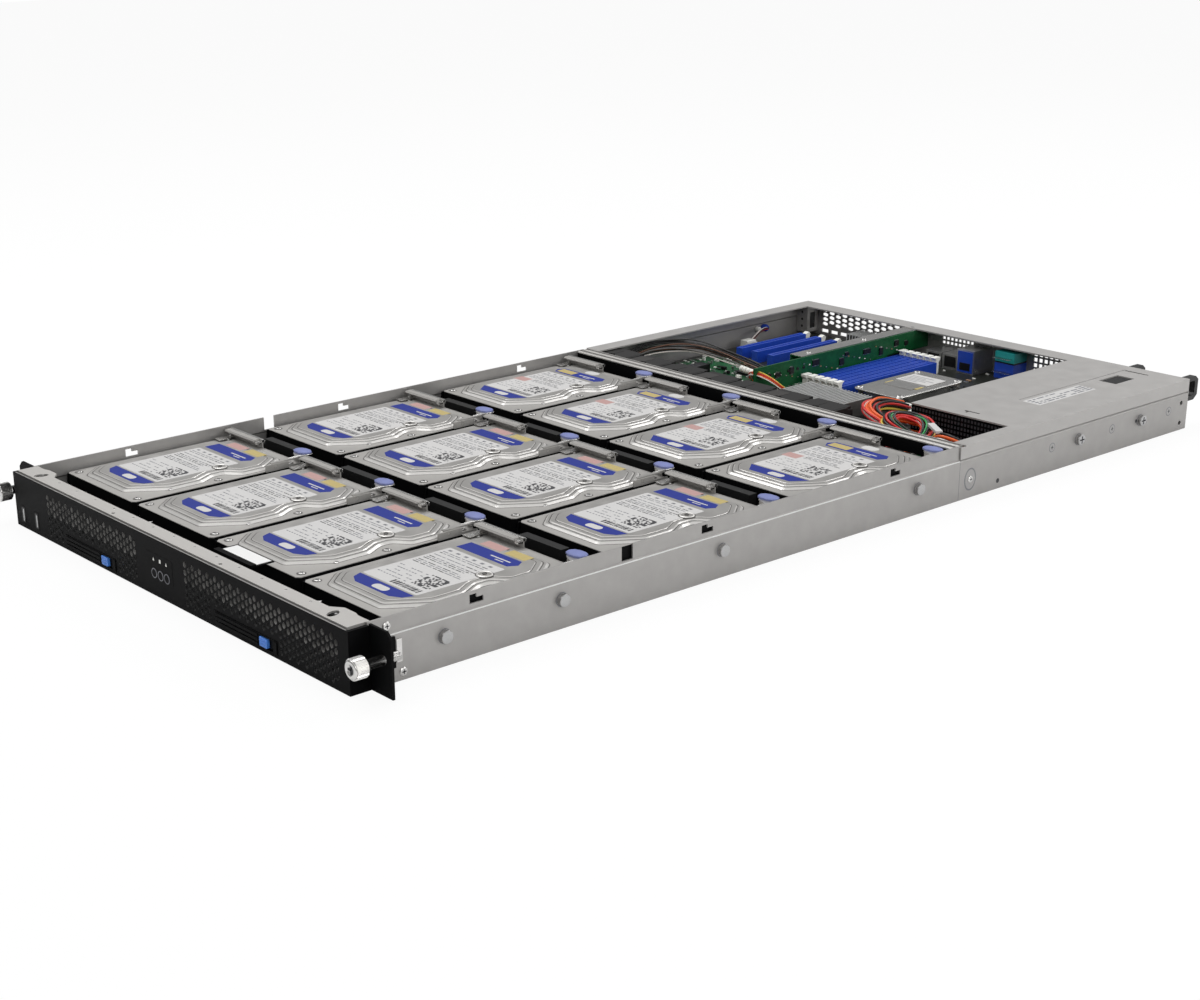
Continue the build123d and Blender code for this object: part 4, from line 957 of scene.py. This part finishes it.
def scatter(form, chance, count, xs, ys, zones, sizes, heights, mats):
    """Small parts at random places of the board, clear of some zones."""
    for _ in range(count):
        x = chance.uniform(*xs)
        y = chance.uniform(*ys)
        if taken(x, y, zones):
            continue
        size = chance.choice(sizes)
        height = chance.choice(heights) if len(heights) > 1 else heights[0]
        form.box((x - size, x + size), (y - size / 2, y + size / 2), (board_top, board_top + height),
                 chance.choice(mats))


def make_board_parts(chance):
    parts = Form()
    z = board_top
    memory, processor, expansion = (-64, -8, 676, 820), (-8, 56, 600, 780), (-220, -80, 716, 863)
    parts.box((-206.0, -66.0), (605.0, 716.0), (z - 0.1, z + 0.06), board_green)
    scatter(parts, chance, 330, (-208, 102), (610, 852), (memory, processor, expansion),
            (1.2, 1.6, 2.4), (0.9,), (tan, chip_black, port_metal, latch_white))
    scatter(parts, chance, 150, (-203, -72), (606, 712), ((-146, -116, 676, 704),),
            (1.0, 1.6, 2.6), (0.9, 1.6, 3.2), (latch_white, chip_black, port_metal, latch_white))
    for _ in range(26):
        x = chance.uniform(-200, 100)
        y = chance.uniform(612, 850)
        if taken(x, y, ((-66, 58, 600, 822), (-220, -80, 712, 863))):
            continue
        chip(parts, x, y, chance.choice((5, 7, 10)), chance.choice((4, 6)))
    for x, y in ((-96, 690), (-84, 690), (84, 792), (84, 804), (84, 816), (70, 700), (92, 730)):
        capacitor(parts, x, y, 3.9, 8.6)
    for k in range(6):
        chip(parts, 62 + (k % 3) * 12, 690 + (k // 3) * 14, 9, 9, 4.2, port_black_and_shade, False)
    chip(parts, -130, 690, 23, 23, 2.6)
    chip(parts, 70, 760, 15, 15, 2.6)
    for x0, x1, y0, y1, top, mat in (
            (-150, -112, 612, 624, 22.4, board_green), (60, 98, 668, 676, 22.4, latch_white),
            (-205, -197, 752, 766, 20.4, latch_white), (-108, -92, 616, 632, 24, tan),
            (-168, -156, 640, 660, 23, chip_black), (-88, -70, 652, 662, 21, latch_white)):
        parts.box((x0 - 0.3, x1 + 0.3), (y0 - 0.3, y1 + 0.3), (z, top), mat)
        cells = int((x1 - x0) // 4)
        for k in range(cells):
            px = x0 + (k + 0.5) * (x1 - x0) / cells
            parts.box((px - 1.2, px + 1.2), (y0 + 1, y1 - 1), (top - 0.1, top + 0.15), dark_print_and_shade)
    parts.build("board_parts", bevel=0.12)


def make_heat_sink(name, xs, ys, top, count, replaces=()):
    """Thin upright fins on a dark base, with painted shade on their sides and a painted highlight along their
    tops and front edges.
    """
    sink = Form()
    base, fin = board_top + 3.0, 1.0
    sink.box(xs, ys, (board_top, base), dark_print_and_shade)
    for k in range(count):
        x = xs[0] + (xs[1] - xs[0] - fin) * k / (count - 1)
        # Painted shade on the fin sides, painted highlight along the top and the front edge
        sink.box((x, x + fin), ys, (base, top - 0.8), painted_shade_grey)
        sink.box((x, x + fin), ys, (top - 0.8, top), fin_metal_and_highlight)
        sink.box((x, x + fin), (ys[0] - 0.1, ys[0] + 0.4), (base, top), fin_metal_and_highlight)
    sink.build(name, replaces=replaces)


def make_slot_details():
    """The dark slit of each memory and expansion slot between its rows of blue teeth."""
    slits = Form()
    for xs, ys, slit_z, inner, outer, first, pitch, count, long, teeth_z in (
            (memory_xs, (686, 810), 21.4, 1.3, 2.9, 688, 4.3, 28, 1.6, 24.38),
            (expansion_xs, (725, 809), 20.6, 1.4, 3.0, 726, 4.1, 20, 1.5, 24.58)):
        for x in xs:
            slits.box((x - 0.9, x + 0.9), ys, (slit_z, slit_z + 0.1), dark_print_and_shade)
            for side in (-1, 1):
                for j in range(count):
                    y = first + j * pitch
                    slits.box((x + side * inner, x + side * outer), (y, y + long), (teeth_z, teeth_z + 0.12),
                              slot_blue)
    slits.build("slot_details")


def make_processor_cover():
    """The processor's lid with its screws and two plain papers."""
    lid = Form()
    x0, x1, y0, y1, corner = -3.0, 50.0, 684.5, 775.5, 3.5
    outline = [(x0, y0 + corner), (x0 + corner, y0), (x1 - corner, y0), (x1, y0 + corner), (x1, y1 - corner),
               (x1 - corner, y1), (x0 + corner, y1), (x0, y1 - corner)]
    lid.prism(clipped(outline), lid_top - 0.1, lid_top + 0.5, bright, shrink=0.3)
    paper_xs = (5.5, 41.5)
    lid.box(paper_xs, (734, 760), (lid_top + 1.0, lid_top + 1.3), label_white)
    lid.box(paper_xs, (719, 729), (lid_top + 0.5, lid_top + 0.8), label_gold)
    for k in range(5):
        y = 737.5 + k * 4
        lid.box((8.5, 8.5 + 18 + 6 * (k % 3)), (y, y + 1.1), (lid_top + 1.28, lid_top + 1.36), print_grey)
    lid.box(paper_xs, (731, 760.5), (lid_top + 0.2, lid_top + 1.05), bright)
    for x in (1.0, 46.0):
        for y in (691, 769):
            cross_screw(lid, x, y, lid_top + 0.5, 3.0, bright)
    lid.build("processor_cover", bevel=0.25)


def make_riser_details(chance):
    """Chips and small parts on the riser card, and its bright bar."""
    card = Form()
    face = riser_face
    for y, z, w, h in ((650, 32, 7, 4), (668, 33, 5, 6), (700, 35, 9, 5), (735, 30, 6, 6), (742, 36, 5, 3),
                       (770, 34, 10, 4), (790, 31, 5, 7), (812, 35, 6, 5), (826, 33, 4, 4)):
        card.box((face, face + 1.1), (y - w / 2, y + w / 2), (z - h / 2, z + h / 2), chip_black)
        for k in range(int(w // 1.5)):
            leg = y - w / 2 + k * 1.5
            card.box((face, face + 0.5), (leg, leg + 0.7), (z - h / 2 - 0.9, z + h / 2 + 0.9), port_metal)
    for k in range(26):
        y, z = 630 + k * 7.6, 24 + (k * 37 % 13)
        mat = chance.choice((tan, latch_white, port_metal))
        card.box((face, face + 0.6), (y, y + 1.6), (z, z + 0.9), mat)
    for y in (640, 664, 676, 684, 828):
        card.lathe((y, 33.4), ((1.4, face), (1.4, face + 0.8), (0.8, face + 0.9)), chip_black, "X", 16)
    bar_ys = (684.0, riser_end)
    card.box((-77.3, -62.2), bar_ys, (42.3, 42.75), bright)
    card.box((-77.4, -76.9), bar_ys, (35.2, 42.7), bright)
    card.box((-62.9, -62.2), bar_ys, (42.7, 43.1), print_grey)
    for y in (700, 776, 846):
        cross_screw(card, -69.5, y, 42.7, 2.4, bright)
    card.build("riser_details", bevel=0.1)


def make_port_shells():
    """The rear port blocks as seen from inside and outside."""
    ports = Form()
    for x0, x1, y0, foot, top, mat in (
            (-44.2, -25.9, 836.8, board_top, 27.8, port_metal),
            (-24.9, -6.3, 836.8, board_top, 27.8, port_metal),
            (-4.7, 14.7, 832.8, board_top, 36.2, port_metal),
            (30.8, 52.2, 842.8, board_top, 28.0, slot_blue),
            (30.8, 52.2, 842.8, 29.5, 38.6, port_teal)):
        ports.box((x0, x1), (y0, wall_ys[1] - 0.1), (foot, top), mat)
    for x in (-35, -15.5):
        ports.box((x - 6.5, x + 6.5), (836.4, 836.9), (16, 26), port_black_and_shade)
    ports.box((-3.4, 13.4), (832.3, 832.9), (15, 34.6), slot_blue)
    ports.box((-1.0, 11.0), (832.0, 832.4), (17, 24), port_black_and_shade)
    for k in range(9):
        for z in (20.5, 33.5):
            ports.rod((33.2 + k * 2.1, z), 0.35, 836.0, 843.0, bright, "Y", 8)
    ports.build("port_shells", bevel=0.3)


# Power bay
def make_cover_tag():
    """Seam of the rear cover, dark sheets of painted shade under its window and cut-outs, and its paper with
    grey bars.
    """
    plate = Form()
    top = strip_top
    plate.box((163.2, 163.8), (701, 851), (top - 0.38, top - 0.3), print_grey)
    # Painted shade: dark sheets beneath the window and the cut-outs
    plate.prism(rounded(170.2, 186.8, 802.2, 828.8, 1.0), top - 1.15, top - 1.0, port_black_and_shade)
    for xs, ys in (((153.6, 169.2), (637.2, 643.4)), ((164.5, 188.5), (846.0, 850.0))):
        plate.box(xs, ys, (top - 2.2, top - 1.8), port_black_and_shade)
    plate.box((168, 185.5), (699, 776), (top - 0.02, top + 0.06), label_white)
    chance = random.Random(3)
    y = 702.0
    while y < 772:
        long = chance.uniform(3, 9)
        for line in range(4):
            if chance.random() < 0.75:
                x = 170.5 + line * 3.6
                plate.box((x, x + 1.7), (y, y + long), (top + 0.05, top + 0.1), print_grey)
        y += long + 2.2
    plate.build("cover_tag")


def make_cage_openings():
    openings = Form()
    # Painted shade: dark patches on the cage's front stand for its openings
    for column in range(32):
        for row in range(9):
            x, z = 111.5 + column * 3.3, 7.0 + row * 3.9
            openings.box((x, x + 1.9), (cage_front - 0.14, cage_front), (z, z + 2.3), dark_print_and_shade)
    openings.build("cage_openings")


def make_module_guard(name, x0):
    """The round grille of a power module: bright rings in front of a dark disc."""
    guard = Form()
    centre, y = (x0 + 24.5, 19.5), module_end
    for r in (17.5, 14.0, 10.5, 7.0, 3.5):
        ring = ((r, y + 0.2), (r, y + 0.7), (r - 0.6, y + 0.7), (r - 0.6, y + 0.2))
        guard.lathe(centre, ring, bright, "Y", 36)
    guard.rod(centre, 18.0, y - 0.1, y + 0.1, dark_print_and_shade, "Y", 40)
    guard.build(f"module_guard_{name}", f"power_module_{name}")


# Cables: the first four routes follow the source's, and all points are listed
def make_cables():
    mixed = ("red black orange black red red orange black red white orange black green black orange red"
             " black red yellow orange black red red black").split()
    loop_one = [(128, 627.8, 18), (124, 612, 20), (108, 598, 30), (88, 600, 37), (78, 618, 38),
                (74, 640, 34), (72, 664, 26)]
    loop_two = [(158, 627.8, 18), (150, 606, 20), (136, 590, 28), (118, 588, 36), (112, 602, 38),
                (124, 616, 36), (142, 613, 34), (150, 600, 27), (146, 588, 20), (120, 582, 14)]
    loop_three = [(196, 629.7, 16), (196, 619, 16), (200, 604, 21), (194, 591, 30), (180, 586, 35),
                  (168, 592, 32), (160, 584, 20), (140, 578, 14)]
    left_run = [(-209.5, 596.0, 20), (-209.5, 606.0, 29), (-207.0, 626.0, 34.5), (-198, 652, 35.5),
                (-180, 668, 35), (-150, 672, 32), (-118, 672, 27.5), (-94, 672, 24), (-82, 672, 20.5)]
    small_run = [(-82, 646, 17), (-79, 636, 26), (-72, 627, 35), (-60, 624, 38), (-50, 630, 33),
                 (-45, 640, 24), (-44, 650, 16.5)]
    plug_run = [(-210.5, 795.8, 26.7), (-206, 787, 29), (-201, 774, 29), (-200.6, 762, 20.5)]
    left_colours = "black black brown black black grey black black brown black white black".split()
    small_colours = "orange yellow green red orange white yellow red".split()
    bundle("power_loop_one", loop_one, mixed, 8.0, 1.15, 5, ("inner_cables",))
    bundle("power_loop_two", loop_two, mixed[1:] + mixed[2:5], 7.4, 1.1, 6)
    bundle("power_loop_three", loop_three, mixed[:15], 7.0, 1.1, 7)
    bundle("left_loom", left_run, left_colours, 5.4, 0.7, 8, flat=1.15)
    bundle("small_run", small_run, small_colours, 4.0, 0.6, 9)
    bundle("plug_run", plug_run, ["red", "black", "red", "white"], 1.6, 0.6, 10)


def make_cable_plugs():
    plugs = Form()
    plugs.box((99, 108), (638, 648), (24, 33), latch_white)
    plugs.prism([(147, 604), (167, 590), (170, 595), (150, 609)], 36.0, 38.5, label_white)
    plugs.box((68, 77), (660, 672), (22.3, 28), latch_white)
    plugs.box((-205.5, -196), (752, 764), (20.2, 23), latch_white)
    plugs.lathe((795.8, 26.7), ((3.6, -217.4), (3.6, -213.0), (2.6, -211.0)), slot_blue, "X", 24)
    plugs.lathe((786.6, 26.7), ((2.4, -217.4), (2.4, -213.0)), latch_white, "X", 20)
    plugs.build("cable_plugs", bevel=0.4)


def make_bay_screen():
    screen = Form()
    screen.box((84, 212), (547.2, 547.9), (2.0, 30.8), black_paint_and_shade)
    screen.build("bay_screen")


def make_sleeve_ends():
    """White sleeves over the ends of the left loom, in six slightly sinking steps each."""
    sleeves = Form()
    steps = 6
    for x0, y0, x1, y1, z0 in ((-104, 669, -84, 669.5, 24.5), (-104, 648, -82, 651, 30.5)):
        for k in range(steps):
            x = x0 + (x1 - x0) * k / steps
            y = y0 + (y1 - y0) * k / steps
            radius = 2.7 + 0.15 * (k % 2)
            sleeves.rod((y, z0 - k * 0.6), radius, x, x + (x1 - x0) / steps, latch_white, "X", 16)
    sleeves.build("sleeve_ends", bevel=0.15)


# Floor, light and camera
def make_floor():
    mesh = bpy.data.meshes.new("floor")
    mesh.from_pydata([(-6, -6, 0), (6, -6, 0), (6, 7, 0), (-6, 7, 0)], [], [(0, 1, 2, 3)])
    floor = bpy.data.objects.new("floor", mesh)
    floor.location.z = -0.0005
    bpy.context.collection.objects.link(floor)
    mat = bpy.data.materials.new("floor_white")
    mat.use_nodes = True
    tree = mat.node_tree
    shader = tree.nodes["Principled BSDF"]
    shader.inputs["Base Color"].default_value = (0.86, 0.86, 0.86, 1)
    shader.inputs["Roughness"].default_value = 0.9
    shader.inputs["Specular IOR Level"].default_value = 0.1
    glow = add_node(tree, "Emission", Color=(1, 1, 1, 1))
    path = add_node(tree, "LightPath")
    share = add_node(tree, "Math")
    share.operation = "MULTIPLY"
    share.inputs[1].default_value = 0.92
    mix = add_node(tree, "MixShader")
    out = tree.nodes["Material Output"]
    link = tree.links.new
    link(path.outputs["Is Camera Ray"], share.inputs[0])
    link(share.outputs["Value"], mix.inputs[0])
    link(shader.outputs["BSDF"], mix.inputs[1])
    link(glow.outputs["Emission"], mix.inputs[2])
    link(mix.outputs["Shader"], out.inputs["Surface"])
    floor.data.materials.append(mat)


def make_world():
    """White behind the object, and a soft room that is darker near the floor for its light."""
    world = bpy.data.worlds.new("soft_room")
    bpy.context.scene.world = world
    world.use_nodes = True
    tree = world.node_tree
    back = tree.nodes["Background"]
    back.inputs["Color"].default_value = (1, 1, 1, 1)
    path = add_node(tree, "LightPath")
    seen = add_node(tree, "Math")
    seen.operation = "MAXIMUM"
    level = add_node(tree, "MapRange", To_Max=1.0)
    coords = add_node(tree, "TexCoord")
    parts = add_node(tree, "SeparateXYZ")
    height = add_node(tree, "MapRange", From_Min=0.05, From_Max=0.7, To_Min=0.16, To_Max=0.62)
    link = tree.links.new
    link(coords.outputs["Generated"], parts.inputs["Vector"])
    link(parts.outputs["Z"], height.inputs["Value"])
    link(height.outputs["Result"], level.inputs["To Min"])
    link(path.outputs["Is Camera Ray"], seen.inputs[0])
    link(path.outputs["Is Transmission Ray"], seen.inputs[1])
    link(seen.outputs["Value"], level.inputs["Value"])
    link(level.outputs["Result"], back.inputs["Strength"])


def make_lamp(name, place_at, target, size, power):
    data = bpy.data.lights.new(name, "AREA")
    data.shape = "RECTANGLE"
    data.size, data.size_y = size
    data.energy = power
    light = bpy.data.objects.new(name, data)
    light.location = place_at
    light.rotation_euler = (Vector(target) - Vector(place_at)).to_track_quat("-Z", "Y").to_euler()
    bpy.context.collection.objects.link(light)


def make_camera():
    """The photo's view: turned about the upright axis, tilted down and rolled a little."""
    width, height = photo_size
    data = bpy.data.cameras.new("camera")
    data.sensor_width = 36.0
    data.lens = lens_pixels / width * data.sensor_width
    data.shift_x = (width / 2 - photo_centre[0]) / width
    data.shift_y = (photo_centre[1] - height / 2) / width
    camera = bpy.data.objects.new("camera", data)
    turn, tilt, roll = [math.radians(angle) for angle in camera_turns]
    back = Vector((math.sin(turn) * math.cos(tilt), -math.cos(turn) * math.cos(tilt), math.sin(tilt)))
    right = Vector((math.cos(turn), math.sin(turn), 0))
    basis = Matrix((right, back.cross(right), back)).transposed().to_4x4()
    camera.matrix_world = Matrix.Translation(camera_place) @ basis @ Matrix.Rotation(roll, 4, "Z")
    bpy.context.collection.objects.link(camera)
    bpy.context.scene.camera = camera


dress_solids()
make_drives()
make_bezel_face()
make_bezel_trim()
make_rear_sheet()
for side, name in ((-1, "left"), (1, "right")):
    make_ssd_tray(side, name)
    make_thumbscrew(side, name)
make_wall_fittings()
make_rail_shading()
make_corner_bracket()
make_bay_tags()
make_fan_tops()
make_fan_guards()
board_chance = random.Random(7)
make_board_parts(board_chance)
make_heat_sink("front_sink", (-26.0, 43.8), (603.8, 657.2), 31.2, 20, ("heat_sinks",))
make_heat_sink("rear_sink", (-134.0, -83.2), (825.8, 850.2), 29.2, 15)
make_slot_details()
make_processor_cover()
make_riser_details(board_chance)
make_port_shells()
make_cover_tag()
make_cage_openings()
for name, x0 in module_xs.items():
    make_module_guard(name, x0)
make_cables()
make_cable_plugs()
make_bay_screen()
make_sleeve_ends()

make_floor()
make_world()
make_lamp("key", (-0.9, 0.2, 1.9), (0, 0.45, 0), (1.8, 1.4), 26)
make_lamp("fill", (1.9, -0.6, 1.3), (0, 0.4, 0), (1.4, 1.0), 14)
make_lamp("back", (0.3, 2.4, 1.5), (0, 0.6, 0), (1.8, 0.8), 16)
make_lamp("side", (2.0, 1.3, 0.7), (0.1, 0.75, 0.02), (1.0, 0.6), 9)
make_camera()
bpy.context.scene.view_settings.view_transform = "Standard"
